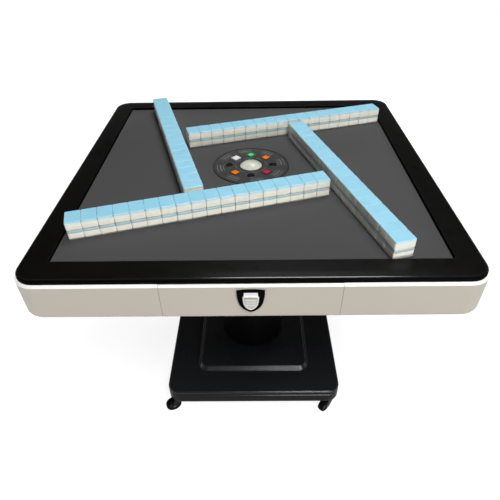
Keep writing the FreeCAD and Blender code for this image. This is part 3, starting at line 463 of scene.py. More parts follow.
def discFinish():
    # dark face with thin pale rings: a ramp along the radius, broken by the angle into arcs, and a black ring at
    # the dome's foot
    d = discLook
    mat, where = newFinish("discFace", {"Specular IOR Level": d["shine"]})
    x, y = addNode(mat, "SeparateXYZ", {0: where}).outputs[:2]
    squares = math2(mat, "ADD", math2(mat, "POWER", x, 2), math2(mat, "POWER", y, 2))
    radius = math2(mat, "MULTIPLY", math2(mat, "SQRT", squares), 1 / (d["reach"] * mm))
    broken = math2(mat, "SINE", math2(mat, "MULTIPLY", math2(mat, "ARCTAN2", y, x), d["breaks"]))
    fine = noise(mat, where, d["fineScale"])
    base = blend(mat, spread(mat, fine), paint(*d["dark"]), paint(*d["pale"]))
    ramp = addNode(mat, "ValToRGB", {0: radius})
    stops = ramp.color_ramp.elements
    for stop, place in zip(stops, (0, 1)):
        stop.position, stop.color = place, (0, 0, 0, 1)
    for middle, half in d["arcs"]:
        for reach, level in ((-2, 0), (-1, 1), (1, 1), (2, 0)):
            stop = stops.new((middle + reach * half) / d["reach"])
            stop.color = (level, level, level, 1)
    lines = math2(mat, "MULTIPLY", ramp.outputs[0], spread(mat, broken, 0, d["arcShare"], *d["breakSpan"]))
    base = blend(mat, lines, base, paint(*d["arc"]))
    ring = spread(mat, radius, 1, 0, *(edge / d["reach"] for edge in d["ring"]))
    base = blend(mat, ring, base, paint(*d["ringBlack"]))
    dress(mat, base, spread(mat, fine, *d["rough"]), d["grain"], fine)


domeLook = dict(colour=(248, 251, 240), alpha=0.34, bend=1.49, coat=0.5, coatRough=0.03, waveScale=60,
                rough=(0.02, 0.06), wave=0.03, depth=0.0003)


def domeFinish():
    # clear plastic, thin enough to see through, with polished waves
    d = domeLook
    mat, where = newFinish("domeClear", {"Base Color": paint(*d["colour"]), "Alpha": d["alpha"], "IOR": d["bend"],
                                         "Coat Weight": d["coat"], "Coat Roughness": d["coatRough"]})
    wave = noise(mat, where, d["waveScale"])
    dress(mat, None, spread(mat, wave, *d["rough"]), d["wave"], wave, d["depth"])


for name, (colour, rough, changes) in mouldedFinishes.items():
    mouldedFinish(name, colour, rough, **changes)
for name, look in metalFinishes.items():
    metalFinish(name, **look)
for name, look in tileFinishes.items():
    mouldedFinish(name, **tileLook, **look)
boardFinish()
clothFinish()
discFinish()
domeFinish()
print("finishes made:", len(bpy.data.materials))


# table top

rim = dict(half=468.99, corner=45, innerHalf=409.99, innerCorner=5, low=764, high=775, crown=0.7,
           crownWidth=22, seatHalf=443.8, seatCorner=20, seat=768, rounds=[1, 6.5, 120, 2, 0.6, 0, 0],
           roundSteps=6, outerBand=30, innerBand=3, glintBand=7, glintFall=0.08, edgeFall=0.55, steps=14)


def makeRim():
    # one closed section (half width, height) carried round a rounded square; the top falls a hair to its outer
    # edge, the start of its outer round is glossier and a little lighter, a painted highlight, and the outer edge
    # and the inner face are darker and matt, painted shade
    r = rim
    outer, inner, low, high, seatHalf, seat = take(r, "half innerHalf low high seatHalf seat")
    section = roundCorners([(outer, low), (outer, high - r["crown"]), (outer - r["crownWidth"], high),
                            (inner, high), (inner, seat), (seatHalf, seat), (seatHalf, low)],
                           r["rounds"], r["roundSteps"])
    half, height = section.T
    corner = np.select([half > outer - r["outerBand"], half < inner + r["innerBand"]],
                       [r["corner"] - (outer - half), r["innerCorner"] + half - inner], r["seatCorner"])
    fall, run = np.abs(np.roll(height, -1) - height), np.abs(np.roll(half, -1) - half)
    glint = ((half + np.roll(half, -1)) / 2 > outer - r["glintBand"]) & (fall > r["glintFall"] * run)
    marks = np.where(fall > r["edgeFall"] * run, 1, np.where(glint, 2, 0))
    grid = loopGrid(half, half, corner, height, r["steps"])
    putPiece("rim", [patch(grid, True, True, marks)], ["rimBlack", "rimShadeBlack", "rimGlint"], "top_frame",
             "rim_black")


wallLay = dict(turn=16.5, offset=182, end=140, pitch=34, tiles=18, length=612)
cloth = dict(half=443.49, corner=20, steps=6, low=765, high=768, lip=0.8, discHole=104, discSteps=24,
             tileLength=48, slotGrow=1.5, slotCorner=4, slotSteps=5, sharp=60)


def outlineArea(loop):
    # half the sum of cross products of neighbouring points
    after = np.roll(loop, -1, 0)
    return abs((loop[:, 0] * after[:, 1] - loop[:, 1] * after[:, 0]).sum()) / 2


def makeCloth():
    # the square sheet, the disc opening, and one skewed slot for each wall
    c, w = cloth, wallLay
    outlines = [outline(c["half"], c["corner"], c["steps"], False),
                outline(c["discHole"], c["discHole"], c["discSteps"], True)]
    slot = (w["length"] / 2 + c["slotGrow"], c["tileLength"] / 2 + c["slotGrow"])
    for side in range(4):
        turn = w["turn"] + side * 90
        middle = spun(np.array([w["end"] - w["length"] / 2, -w["offset"]]), turn)
        outlines.append(outline(slot, c["slotCorner"], c["slotSteps"], True, middle, turn))
    sheet = putPiece("playCloth", plate(outlines, c["low"], c["high"], c["lip"]), ["clothGrey"], "play_cloth",
                     "cloth_grey", sharp=c["sharp"])
    areas = [outlineArea(outlineLoop(shape, 0)) for shape in outlines]


makeRim()
makeCloth()
print("rim and cloth made")


# skirt

skirt = dict(half=473.99, bevelHalf=468.99, low=672, bevelLow=759, high=764, flange=446, lip=450, wall=4,
             centre=423.99, cornerSteps=18, seam=180, gap=0.6, edge=0.7, rounds=[0, 12, 1, 0.8, 0],
             roundSteps=6, litBevelReach=0.3, flat=0.05)


def skirtSection(top):
    # return lip, bottom round, wall, bevel and flange, as half width and height
    s = skirt
    half, low, bevelHalf, bevelLow, high = take(s, "half low bevelHalf bevelLow high")
    topHalf = bevelHalf + (high - top) * (half - bevelHalf) / (high - bevelLow)
    return roundCorners([(s["lip"], low), (half, low), (half, bevelLow), (topHalf, top), (s["flange"], top)],
                        s["rounds"], s["roundSteps"])


def bevelMarks(height):
    # strips above the wall and outside the flange take a near-white copy of the skirt's colour, a painted
    # highlight for light on the up-facing bevel
    middle = (height[1:] + height[:-1]) / 2
    raised = middle > skirt["bevelLow"] - skirt["litBevelReach"]
    return (raised & (np.abs(np.diff(height)) > skirt["flat"])).astype(int)


def makeCorner(index):
    # the section carried along one side, round the corner and along the next
    centre = skirt["centre"]
    half, height = skirtSection(skirt["high"]).T
    turn = np.linspace(0, np.pi / 2, skirt["cornerSteps"] + 1)
    arcX = centre + np.outer(np.cos(turn), half - centre)
    arcY = centre + np.outer(np.sin(turn), half - centre)
    seam = np.full((1, len(half)), skirt["seam"])
    x, y = np.concatenate([half[None], arcX, seam]), np.concatenate([seam, arcY, half[None]])
    grid = np.stack([x, y, np.broadcast_to(height, x.shape)], -1)
    return placed([patch(grid, False, False, bevelMarks(height))], index * 90)


def makeFronts():
    # the same section drawn straight between the two seams
    s = skirt
    half, height = skirtSection(s["high"] - s["gap"]).T
    x = np.array([-1, 1])[:, None] * (s["seam"] - s["gap"])
    grid = np.stack(np.broadcast_arrays(x, -half, height), -1)
    putSides("drawerFront_", [patch(grid, False, False, bevelMarks(height))], ["skirtWhite", "bevelHighlightWhite"],
             "drawer_front_", "skirt_white", wall=s["wall"], edge=s["edge"])


putPiece("skirtCorners", [p for index in range(4) for p in makeCorner(index)], ["skirtWhite", "bevelHighlightWhite"],
         "skirt_corners", "skirt_white", wall=skirt["wall"], edge=skirt["edge"])
makeFronts()
print("skirt made")


# drawers

tray = dict(halfX=158, back=282.04, front=469.99, low=679.3, high=721, wall=2.5, corner=5, leastCorner=0.3,
            cornerSteps=5, foot=1.2, floorEdge=2.2, rounds=[0, 0, 0.9, 0.9, 1.6, 0])


def makeTrays():
    # up the outside of a rounded box, over its edge, and down the inside to the floor
    t = tray
    back, front, low, high, wall, foot = take(t, "back front low high wall foot")
    section = roundCorners([(foot, low), (0, low + foot), (0, high), (wall, high), (wall, low + wall),
                            (wall + t["floorEdge"], low + wall)], t["rounds"])
    inset, height = section.T
    corner = np.maximum(t["corner"] - inset, t["leastCorner"])
    grid = loopGrid(t["halfX"] - inset, (front - back) / 2 - inset, corner, height, t["cornerSteps"])
    patches = placed(closedEnds(grid), shift=(0, -(front + back) / 2, 0))
    putSides("drawerTray_", patches, ["innerPlastic"], "drawer_tray_", "inner_plastic")


# plate and tab are profiles of inset and reach from the table's middle
pull = dict(width=55, height=59, top=754, arch=0.04, flank=(0.487, 0.70), knee=(0.432, 0.41),
            cheek=(0.285, 0.17), arcSteps=(12, 6, 10, 10, 6), plate=[(0.5, 473.99), (0, 474.49),
            (0, 478.09), (0.25, 478.69), (0.9, 478.99), (3.1, 478.99), (3.7, 478.74), (4, 478.19),
            (4.3, 476.99)], tab=[(0.6, 482.99), (0, 483.59), (0, 485.69), (0.25, 486.24), (0.8, 486.49),
            (2.6, 486.49), (3.1, 485.99)], tabWidth=32, tabHeight=36, front=486.49, floor=476.99, sink=1,
            shoulder=744.5, foot=735, neckTop=747, neckStations=[(13.75, 0.9), (13.5, 0.965), (12.85, 1),
            (-12.85, 1), (-13.5, 0.965), (-13.75, 0.9)], neckRounds=[0.5, 1.6, 0.8, 0.3], litCrest=0.8,
            ribs=3, ribPitch=6, ribHalf=10, ribHeight=1.2, ribSink=0.8, ribCorner=1.2, ribLip=0.9,
            ribSteps=3)


def shieldLoop(width, height, top, inset):
    # five arcs: a gently arched top, and on each side a nearly straight flank and a sweep in to the blunt point
    w, h, t = width - 2 * inset, height - 2 * inset, top - inset
    flip, corner, tip = np.array([-1, 1]), np.array([w / 2, t - w * pull["arch"]]), np.array([0, t - h])
    flank, knee, cheek = (tip + np.array([w, h]) * shares for shares in take(pull, "flank knee cheek"))
    route = [corner, (0, t), corner * flip, flank * flip, knee * flip, cheek * flip, tip, cheek, knee, flank,
             corner]
    starts = range(0, len(route) - 1, 2)
    arcs = [arcThrough(*route[i:i + 3], steps) for i, steps in zip(starts, pull["arcSteps"])]
    return np.concatenate([arc[:-1] for arc in arcs])


def shieldLoft(size, profile, finish, front):
    # shield outlines drawn in step by step as the profile goes; the front face has its own finish
    loops = [(shieldLoop(*size, inset), level) for inset, level in profile]
    grid = np.stack([np.c_[loop, np.full(len(loop), level)] for loop, level in loops], 1)
    return closedEnds(grid, finish, front)


def makePulls():
    # a rimmed shield plate, the tab, the neck between them, its sloped crest painted near white as a painted
    # highlight, and the tab's ribs; the neck's section is (out, up)
    p = pull
    front, floor, sink, shoulder, foot, top, high = take(p, "front floor sink shoulder foot neckTop ribHeight")
    patches = shieldLoft(take(p, "width height top"), p["plate"], 0, 0)
    patches += shieldLoft((p["tabWidth"], p["tabHeight"], shoulder), p["tab"], 1, 2)
    fall = (top - shoulder) / (front - floor)
    root = floor - sink
    neck = roundCorners([(root, top + fall * sink), (front, shoulder), (front, foot), (root, foot)],
                        p["neckRounds"])
    for points, faces, marks in stationLoft(neck, p["neckStations"]):
        points = points[:, [1, 2, 0]]
        # the crest strips take the painted highlight
        litCrest = points[faces].mean(1)[:, 1] > shoulder - p["litCrest"]
        patches.append((points, faces, np.where(litCrest, 3, 2)))
    bar = roundedBar(p["ribHalf"], high, front - p["ribSink"], front + high, p["ribCorner"], p["ribLip"],
                     p["ribSteps"], 1)
    for rib in range(p["ribs"]):
        patches += placed(bar, shift=(0, foot - rib * p["ribPitch"], 0))
    patches = [(upright(points), faces, marks) for points, faces, marks in patches]
    putSides("drawerPull_", patches, ["pullBlack", "pullPale", "pullPanel", "pullCrestHighlight"], "drawer_pull_",
             "pull_black")


makeTrays()
makePulls()
print("drawers made")


# tile walls

# the marks of each layer's strips are places in the list of finishes
tile = dict(half=(16.97, 24), height=22, corner=(4.5, 2.7), steps=2, slim=0.5, base=768, shift=0.2, seed=40,
            sharp=60, section=[(2.4, 0), (0, 2.4), (0, 15.6), (0, 19.4), (0.8, 21.1), (2.6, 22)],
            finishes=["tileIvory", "tileBlue", "tileBlueSideLit", "tileGrooveShade", "tileEdgeHighlight"],
            marks=[[0, 0, 3, 3, 3], [0, 0, 2, 3, 4]])


def makeTileWall(side):
    # one rounded tile, repeated along the wall and in two layers, each a hair out of line; the lower tiles' upper
    # band and the upper tiles' end edges take a dull grey-blue, painted shade for the groove between the layers,
    # the upper tiles' blue side band is painted paler for light falling on and through it, and the upper tiles'
    # side edges are a paler blue, a painted highlight
    t, w, name = tile, wallLay, sideNames[side]
    inset, height = np.array(t["section"]).T
    (halfX, halfY), (cornerX, cornerY) = t["half"], t["corner"]
    grid = loopGrid(halfX - inset * t["slim"], halfY - inset, cornerX - inset, height, t["steps"],
                    cornerY - inset)
    along = w["end"] - (np.arange(w["tiles"]) + 0.5) * w["pitch"]
    draw = np.random.default_rng(t["seed"] + side)
    patches = []
    for layer, strips in enumerate(t["marks"]):
        out = draw.uniform(-t["shift"], t["shift"], len(along))
        level = np.full(len(along), t["base"] + layer * t["height"])
        shifts = np.stack([along, out - w["offset"], level], -1)
        for points, faces, marks in [patch(grid, finish=strips), cap(grid, 0, 0), cap(grid, -1, 1)]:
            ends = np.abs(points[faces].mean(1)[:, 1]) > halfY - cornerY
            if layer:
                marks = np.where((marks == 3) & ~ends, 4, marks)
            many = (points[None] + shifts[:, None]).reshape(-1, 3)
            jumps = (np.arange(len(shifts)) * len(points))[:, None, None]
            patches.append((many, (faces[None] + jumps).reshape(-1, faces.shape[1]), np.tile(marks, len(shifts))))
    putPiece("tileWall_" + name, placed(patches, w["turn"] + side * 90), t["finishes"], "tile_wall_" + name,
             "tile_ivory", sharp=t["sharp"])


for side in range(4):
    makeTileWall(side)
print("tile walls made")


# centre disc

disc = dict(radius=103.5, face=100.5, inner=30.3, top=769.2, under=767.2, lip=770, floor=745.2,
            bottom=742.2, tube=24, tubeWall=4, tubeEnd=658.2, wall=3, turnSteps=128, rounds=[0, 0, 0.8,
            0.8, 2, 1, 1, 0.35, 0.3, 0.2, 0.4, 1.5, 0], faceGap=0.05, faceLip=0.25, faceSteps=24,
            innerSteps=16, sharp=50)
# the crown is a profile of inset and fall, and its last strips take the bright tint
keys = dict(circle=59, half=10.5, corner=2, leastCorner=0.2, gap=0.3, cap=771, flange=2, flangeHigh=766.9,
            flangeLow=763.9, stem=4, stemLow=747.5, tinted=4, crown=[(0, 0.95), (0.12, 0.5), (0.45, 0.14),
            (1, 0), (2.2, 0), (2.5, 0.12), (4.725, 0.22), (7.875, 0.32), (10.5, 0.34)], bezel=3.2,
            bezelHigh=0.8, bezelSink=0.2, bezelLean=0.3, bezelRounds=[0, 0, 0.45, 0.3], turnSteps=48,
            cornerSteps=6, holeSteps=8,
            look=dict(rough=0.26, drift=0.04, driftScale=40, grain=0.04, coat=0.4))
keySlots = ["key_black", "key_orange", "key_green", "key_white",
            "key_black", "key_orange", "key_black", "key_red"]
# for each key a darker copy of its colour, painted shade on its sides and cap rim, and its top colour
keyShadedEdgeTints = {"key_black": ((4, 4, 5), (7, 7, 8)), "key_orange": ((120, 50, 8), (250, 132, 24)),
            "key_green": ((14, 92, 48), (66, 232, 146)), "key_white": ((214, 214, 214), (252, 252, 251)),
            "key_red": ((80, 12, 28), (192, 40, 76))}


def keyPlace(index):
    turn = math.radians(45 * index)
    return np.array([keys["circle"] * math.cos(turn), keys["circle"] * math.sin(turn)])


def keyHole(index):
    # plan of a key's hole: a round one, or a square standing on its corner
    half, corner = keys["half"] + keys["gap"], keys["corner"] + keys["gap"]
    square = index % 2
    return outline(half, corner if square else half, keys["holeSteps"], True, keyPlace(index), 45 * square)


def makeDisc():
    # a turned housing with its tube, and a face plate with rings round the round keys
    d, k = disc, keys
    radius, face, under, lip, floor, bottom = take(d, "radius face under lip floor bottom")
    tube, tubeEnd, wall, top = take(d, "tube tubeEnd wall top")
    inner, tubeInner = face - wall, tube - d["tubeWall"]
    section = roundCorners([(0, bottom), (tubeInner, bottom), (tubeInner, tubeEnd), (tube, tubeEnd),
                            (tube, bottom), (radius - wall, bottom), (radius, floor), (radius, lip), (face, lip),
                            (face, under), (inner, under), (inner, floor), (0, floor)], d["rounds"])
    putPiece("discHousing", [turned(section, d["turnSteps"])], ["discBlack"], "disc_housing", "disc_black")
    edge = face - d["faceGap"]
    outlines = [outline(edge, edge, d["faceSteps"], False),
                outline(d["inner"], d["inner"], d["innerSteps"], True)]
    outlines += [keyHole(index) for index in range(8)]
    patches = plate(outlines, under, top, d["faceLip"])
    inner, low, high = k["half"] + k["gap"], top - k["bezelSink"], top + k["bezelHigh"]
    outer = inner + k["bezel"]
    ring = roundCorners([(inner, low), (outer, low), (outer - k["bezelLean"], high), (inner, high)],
                        k["bezelRounds"])
    for index in range(0, 8, 2):
        mark = 2 if keySlots[index] == "key_green" else 1
        patches.append(turned(ring, k["turnSteps"], keyPlace(index), mark, True))
    putPiece("discFace", patches, ["discFace", "bezelGrey", "bezelGreen"], "disc_face", "disc_black",
             sharp=d["sharp"])


def makeKey(index):
    # stem, stop flange and cap in one section; the cap's crown dips a little at its middle; all but the last
    # strips take a darker copy of the key's top colour, painted shade on its sides and cap rim
    k, name, slot = keys, "key_%d" % (index + 1), keySlots[index]
    half, stem, stemLow, flange, low, high = take(k, "half stem stemLow flange flangeLow flangeHigh")
    crown = [(half - inset, k["cap"] - fall) for inset, fall in k["crown"]]
    section = np.array([(0, stemLow), (stem, stemLow), (stem, low), (half + flange, low), (half + flange, high),
                        (half, high), *crown])
    strips = len(section) - 1
    marks = (np.arange(strips) >= strips - k["tinted"]).astype(int)
    size, height = section.T
    if index % 2:
        corner = np.where(size <= stem, size, np.maximum(k["corner"] + size - half, k["leastCorner"]))
        grid = loopGrid(size, size, np.minimum(corner, size), height, k["cornerSteps"])
        patches = placed([patch(grid, finish=marks)], 45, np.r_[keyPlace(index), 0.0])
    else:
        patches = [turned(section, k["turnSteps"], keyPlace(index), marks)]
    looks = [name + "Edge", name + "Top"]
    for look, tint in zip(looks, keyShadedEdgeTints[slot]):
        mouldedFinish(look, tint, **k["look"])
    putPiece("discKey_%d" % (index + 1), patches, looks, name, slot)


dome = dict(radius=30, height=12, wall=2, base=769.2, flange=33.5, flangeHigh=767.2, flangeLow=764.2,
            arcSteps=14, turnSteps=96)


def domeArc(inset):
    # an arc of a large ball from the upright side to the crown
    radius, rise = dome["radius"] - inset, dome["height"] - inset
    ball = (radius * radius + rise * rise) / (2 * rise)
    turn = np.linspace(math.asin(radius / ball), 0, dome["arcSteps"] + 1)
    return np.stack([ball * np.sin(turn), dome["base"] + rise - ball + ball * np.cos(turn)], -1)


def makeDome():
    radius, wall, flange, low, high = take(dome, "radius wall flange flangeLow flangeHigh")
    foot = [(radius - wall, low), (flange, low), (flange, high), (radius, high)]
    section = np.concatenate([domeArc(wall)[::-1], foot, domeArc(0.0)])
    putPiece("diceDome", [turned(section, dome["turnSteps"])], ["domeClear"], "dice_dome", "dome_clear")


diceCup = dict(radius=30, wall=2, low=745.2, rim=764.2, floor=753.75, rounds=[0, 1, 0.6, 0.6, 2.5, 0],
               roundSteps=5, turnSteps=72)
dice = dict(size=9, round=1.1, corner=1.5, steps=4, spread=2.3, pipSteps=10, pip=[(0.85, -0.3),
            (0.85, 0.02), (0.68, 0.06), (0, 0.06)], red=(1, 4), lay=[{"place": (-10.08, 3.36), "turn": 20,
            "top": 5, "front": 4, "right": 6}, {"place": (8.4, -6.16), "turn": 57, "top": 3, "front": 6,
            "right": 2}])
fourPips = [(-1, -1), (1, -1), (1, 1), (-1, 1)]
pipPlaces = {1: [(0, 0)], 2: [(-1, -1), (1, 1)], 3: [(-1, -1), (0, 0), (1, 1)], 4: fourPips,
             5: fourPips + [(0, 0)], 6: fourPips + [(-1, 0), (1, 0)]}


def makeCup():
    c = diceCup
    radius, low, rimHigh, floor = take(c, "radius low rim floor")
    inner = radius - c["wall"]
    section = roundCorners([(0, low), (radius, low), (radius, rimHigh), (inner, rimHigh), (inner, floor),
                            (0, floor)], c["rounds"], c["roundSteps"])
    putPiece("diceCup", [turned(section, c["turnSteps"])], ["trayIvory"], "dice_tray", "inner_plastic")


def makeDice():
    # a rounded cube, with each pip a shallow button set into a face; opposite faces add up to seven
    d = dice
    size, half = d["size"], d["size"] / 2
    cube = roundedBar(half, half, 0.0, size, d["corner"], d["round"], d["steps"])
    patches = []
    for die in d["lay"]:
        pips = []
        top, front, right = take(die, "top front right")
        for value, turn in ((top, None), (front, 0.0), (7 - front, 180.0), (right, 90.0), (7 - right, 270.0)):
            mark = 2 if value in d["red"] else 1
            for u, v in pipPlaces[value]:
                middle = (u * d["spread"], v * d["spread"])
                points, faces, marks = turned(d["pip"], d["pipSteps"], middle, mark)
                if turn is None:
                    points = points + (0, 0, size)
                else:
                    points = spun(upright(points + (0, 0, half)), turn) + (0, 0, half)
                pips.append((points, faces, marks))
        patches += placed(cube + pips, die["turn"], (*die["place"], diceCup["floor"]))
    putPiece("dicePair", patches, ["diceIvory", "pipDark", "pipRed"], "dice", "inner_plastic")


makeDisc()
for index in range(8):
    makeKey(index)
makeDome()
makeCup()
makeDice()
print("centre disc made")


# base and column

# bolt heads and washers are profiles of radius, as a share of the bolt's, and height
column = dict(radius=102, wall=3, low=79, high=577, flange=168, flangeHigh=589, rounds=[0, 0.5, 0.5, 5,
              1.5, 1.5, 0], roundSteps=5, turnSteps=128, finHalf=4, finReach=55, finDrop=70, finSink=1,
              finTop=2, finToe=4, finLip=6, finRounds=[0, 0, 5, 4, 0], finEase=0.6, finShare=0.988,
              bolts=12, boltCircle=146, boltRadius=7.5, head=[(0, -5.2), (0.86, -5.2), (1, -4.6), (1, -1)],
              headSteps=6, washer=[(1, -1), (1.25, -1), (1.25, 0.3), (0, 0.3)], washerSteps=20, sharp=45)


def makeColumn():
    # tube and head flange turned in one section; a bent fin on each side under the flange, and hexagon bolts
    c = column
    radius, low, high, flange, flangeHigh = take(c, "radius low high flange flangeHigh")
    inner = radius - c["wall"]
    section = roundCorners([(inner, high), (inner, low), (radius, low), (radius, high), (flange, high),
                            (flange, flangeHigh), (0, flangeHigh)], c["rounds"], c["roundSteps"])
    patches = [turned(np.concatenate([[(0, high)], section]), c["turnSteps"])]
    root, toe, end = inner + c["finSink"], radius + c["finToe"], radius + c["finReach"]
    foot, top = high - c["finDrop"], high + c["finTop"]
    fin = roundCorners([(root, top), (root, foot), (toe, foot), (end, high - c["finLip"]), (end, top)],
                       c["finRounds"])
    for side in range(4):
        patches += placed(slabLoft(fin, -c["finHalf"], c["finHalf"], c["finEase"], c["finShare"]), side * 90)
    for bolt in range(c["bolts"]):
        turn = 2 * np.pi * (bolt + 0.5) / c["bolts"]
        middle = (c["boltCircle"] * math.cos(turn), c["boltCircle"] * math.sin(turn))
        for part in ("head", "washer"):
            profile = np.array(c[part]) * (c["boltRadius"], 1.0) + (0, high)
            patches.append(turned(profile, c[part + "Steps"], middle, 1))
    # the tube, flange and fins take a near-black, matt copy of the base's black, painted shade under the table
    putPiece("column", patches, ["columnShadedBlack", "zincSteel"], "column", "base_black", sharp=c["sharp"])


base = dict(half=276, corner=40, low=64, high=113, beadLow=95, beadHigh=100, beadDepth=1.2, beadRise=1.6,
            beadFall=1.2, flat=20, roundSteps=6, rounds=[0, 0, 0, 0, 0.5, 0.5, 0.8, 7, 0], padX=182,
            padY=194, padCorner=30, leastCorner=6, cornerShare=0.4, padHigh=128, slope=9, slopeFlat=14,
            slopeRounds=[0, 5, 4, 0], slopeSteps=5, hole=102.3, wall=2.5, inletHalf=15.3, inletLow=72.2,
            inletHigh=94.8, slack=0.5, steep=0.2, topBand=1, steps=12, sharp=25)


def makeBase():
    # skirt with a pressed bead, rolled edge, flat, the pad's slope and the pad, down to the column's hole
    b = base
    half, high, padHigh, hole, inlet, slack = take(b, "half high padHigh hole inletHalf slack")
    beadLow, beadHigh, inletLow, inletHigh = take(b, "beadLow beadHigh inletLow inletHigh")
    groove = half - b["beadDepth"]
    outer = roundCorners([(half, b["low"]), (half, inletLow), (half, inletHigh), (half, beadLow),
                          (groove, beadLow + b["beadRise"]), (groove, beadHigh - b["beadFall"]),
                          (half, beadHigh), (half, high), (half - b["flat"], high)], b["rounds"], b["roundSteps"])
    outerHalf, outerHigh = outer.T
    flat, slope = b["slopeFlat"], b["slope"]
    step, slopeHigh = roundCorners([(-flat, high), (0.0, high), (slope, padHigh), (slope + flat, padHigh)],
                                   b["slopeRounds"], b["slopeSteps"]).T
    halfX = np.r_[outerHalf, b["padX"] - step, hole]
    halfY = np.r_[outerHalf, b["padY"] - step, hole]
    padCorner = b["padCorner"] - np.minimum(step, 0) - b["cornerShare"] * np.maximum(step, 0)
    corner = np.r_[b["corner"] - (half - outerHalf), np.maximum(padCorner, b["leastCorner"]), hole]
    height = np.r_[outerHigh, slopeHigh, padHigh]
    grid = loopGrid(halfX, halfY, corner, height, b["steps"])
    # two stations on the back side, so that the inlet's hole can be left out between them; they stay on the
    # straight part of each loop, so they meet where the loop is a circle
    x = np.array([1.0, -1.0])[:, None] * np.minimum(inlet, halfX - corner)
    stations = np.stack(np.broadcast_arrays(x, halfY, height), -1)
    grid = np.insert(grid, b["steps"] + 1, stations, axis=0)
    steep = np.abs(np.diff(halfX)) < b["steep"] * np.abs(np.diff(height))
    # the steep side strips take a darker, matt copy of the base's black, painted shade
    side = (steep & (height[1:] < high - b["topBand"])).astype(int)
    points, faces, marks = patch(grid, finish=side)
    x, y, z = points[faces].mean(1).T
    gap = (y > half - slack) & (np.abs(x) < inlet - slack) & (z > inletLow) & (z < inletHigh)
    putPiece("baseCover", [(points, faces[~gap], marks[~gap])], ["baseBlack", "baseSideShaded"], "base_cover",
             "base_black", wall=b["wall"], sharp=b["sharp"])


pan = dict(topHalf=445.99, bottomHalf=268, corner=46, low=589, high=673, wall=3, flange=22, edgeBand=40,
           rounds=[0, 7, 0, 0], roundSteps=6, steps=10, sharp=50)


def makePan():
    # flat bottom, rolled edge and flared sides up to the floor plate, then a flange turned in
    p = pan
    bottomHalf, topHalf, low, high = take(p, "bottomHalf topHalf low high")
    section = roundCorners([(bottomHalf - p["edgeBand"], low), (bottomHalf, low), (topHalf, high),
                            (topHalf - p["flange"], high)], p["rounds"], p["roundSteps"])
    half, height = section.T
    grid = loopGrid(half, half, p["corner"], height, p["steps"])
    putPiece("bellyPan", [patch(grid), cap(grid, 0)], ["panBlack"], "belly_pan", "pan_black", wall=p["wall"],
             sharp=p["sharp"])


makeColumn()
makeBase()
makePan()
print("base, column and pan made")


# casters

caster = dict(names=["front_left", "front_right", "back_right", "back_left"], signs=[(-1, -1), (1, -1),
              (1, 1), (-1, 1)], headings=[205, 222, 25, 130], place=249, trail=19, wheel=25, half=9.5,
              bore=4.3, dish=2.5, dishRadius=15, faceRadius=17.5, shoulder=1.5, treadHalf=4, treadFrom=17,
              wheelRounds=[0.3, 1, 1, 2, 5], wheelSteps=48, cheek=10.7, forkWall=3, forkEase=0.6,
              forkShare=0.97, forkRounds=[1.5, 4, 5, 7, 5, 4, 1.5], forkSteps=5, hood=4, hoodLean=1,
              foot=9, bridgeInset=(0.5, 0.2), bridgeSpan=(0.05, 3.9), bridgeCorner=4, bridgeLip=1,
              bridgeSteps=4, axle=4, axleRounds=[0, 0.9, 0.9, 0], axleSteps=24, swivel=17, swivelLow=55.7,
              swivelHigh=61.7, stem=6, stemHigh=87, headRise=0.4, headRounds=[0, 1.2, 1.6, 0.5, 1, 0],
              headSteps=40)


def makeWheel(c):
    # half a section, mirrored, and turned about the axle
    wheel, half = take(c, "wheel half")
    side = [(c["bore"], c["dish"] - half), (c["dishRadius"], c["dish"] - half), (c["faceRadius"], -half),
            (wheel - c["shoulder"], -half), (wheel, -c["treadHalf"])]
    section = roundCorners(side + [(radius, -z) for radius, z in side[::-1]],
                           c["wheelRounds"] + c["wheelRounds"][::-1])
    tread = (section[:, 0] + np.roll(section[:, 0], -1)) / 2 > c["treadFrom"]
    return turned(section, c["wheelSteps"], finish=tread.astype(int), closed=True)


def makeFork(c):
    # two cheeks that lean back to the axle, the bridge over the wheel, and the swivel head with its stem
    wheel, trail, foot, swivel, low, high = take(c, "wheel trail foot swivel swivelLow swivelHigh")
    cheek = roundCorners([(-swivel, low + c["hood"]), (c["hoodLean"] - swivel, low), (trail - foot, wheel),
                          (trail, wheel - foot), (trail + foot, wheel), (swivel, low), (swivel, low + c["hood"])],
                         c["forkRounds"], c["forkSteps"])
    near, far = c["cheek"], c["cheek"] + c["forkWall"]
    patches = []
    for start, end in ((near, far), (-far, -near)):
        patches += slabLoft(cheek, start, end, c["forkEase"], c["forkShare"])
    (insetX, insetY), (bridgeLow, bridgeHigh) = c["bridgeInset"], c["bridgeSpan"]
    patches += roundedBar(swivel - insetX, far - insetY, low + bridgeLow, low + bridgeHigh, c["bridgeCorner"],
                          c["bridgeLip"], c["bridgeSteps"])
    stem, stemHigh, under = c["stem"], c["stemHigh"], low + c["headRise"]
    head = roundCorners([(0, under), (swivel, under), (swivel, high), (stem, high), (stem, stemHigh),
                         (0, stemHigh)], c["headRounds"])
    return patches + [turned(head, c["headSteps"], finish=1)]


def makeCaster(index):
    c, name = caster, caster["names"][index]
    shift = np.array([*c["signs"][index], 0.0]) * c["place"]
    hub = (c["trail"], 0.0, c["wheel"])
    axle, reach = c["axle"], c["cheek"] + c["forkWall"]
    pin = roundCorners([(0, -reach), (axle, -reach), (axle, reach), (0, reach)], c["axleRounds"], 3)
    wheel, pin = ((upright(points) + hub, faces, marks) for points, faces, marks in
                  (makeWheel(c), turned(pin, c["axleSteps"], finish=1)))
    putPiece("casterWheel_" + name, placed([wheel], c["headings"][index], shift), ["casterBlack", "rubber"],
             "caster_wheel_" + name, "wheel_rubber")
    putPiece("casterFork_" + name, placed(makeFork(c) + [pin], c["headings"][index], shift),
             ["casterBlack", "zincSteel"], "caster_fork_" + name, "caster_black")


for index in range(4):
    makeCaster(index)
print("casters made")


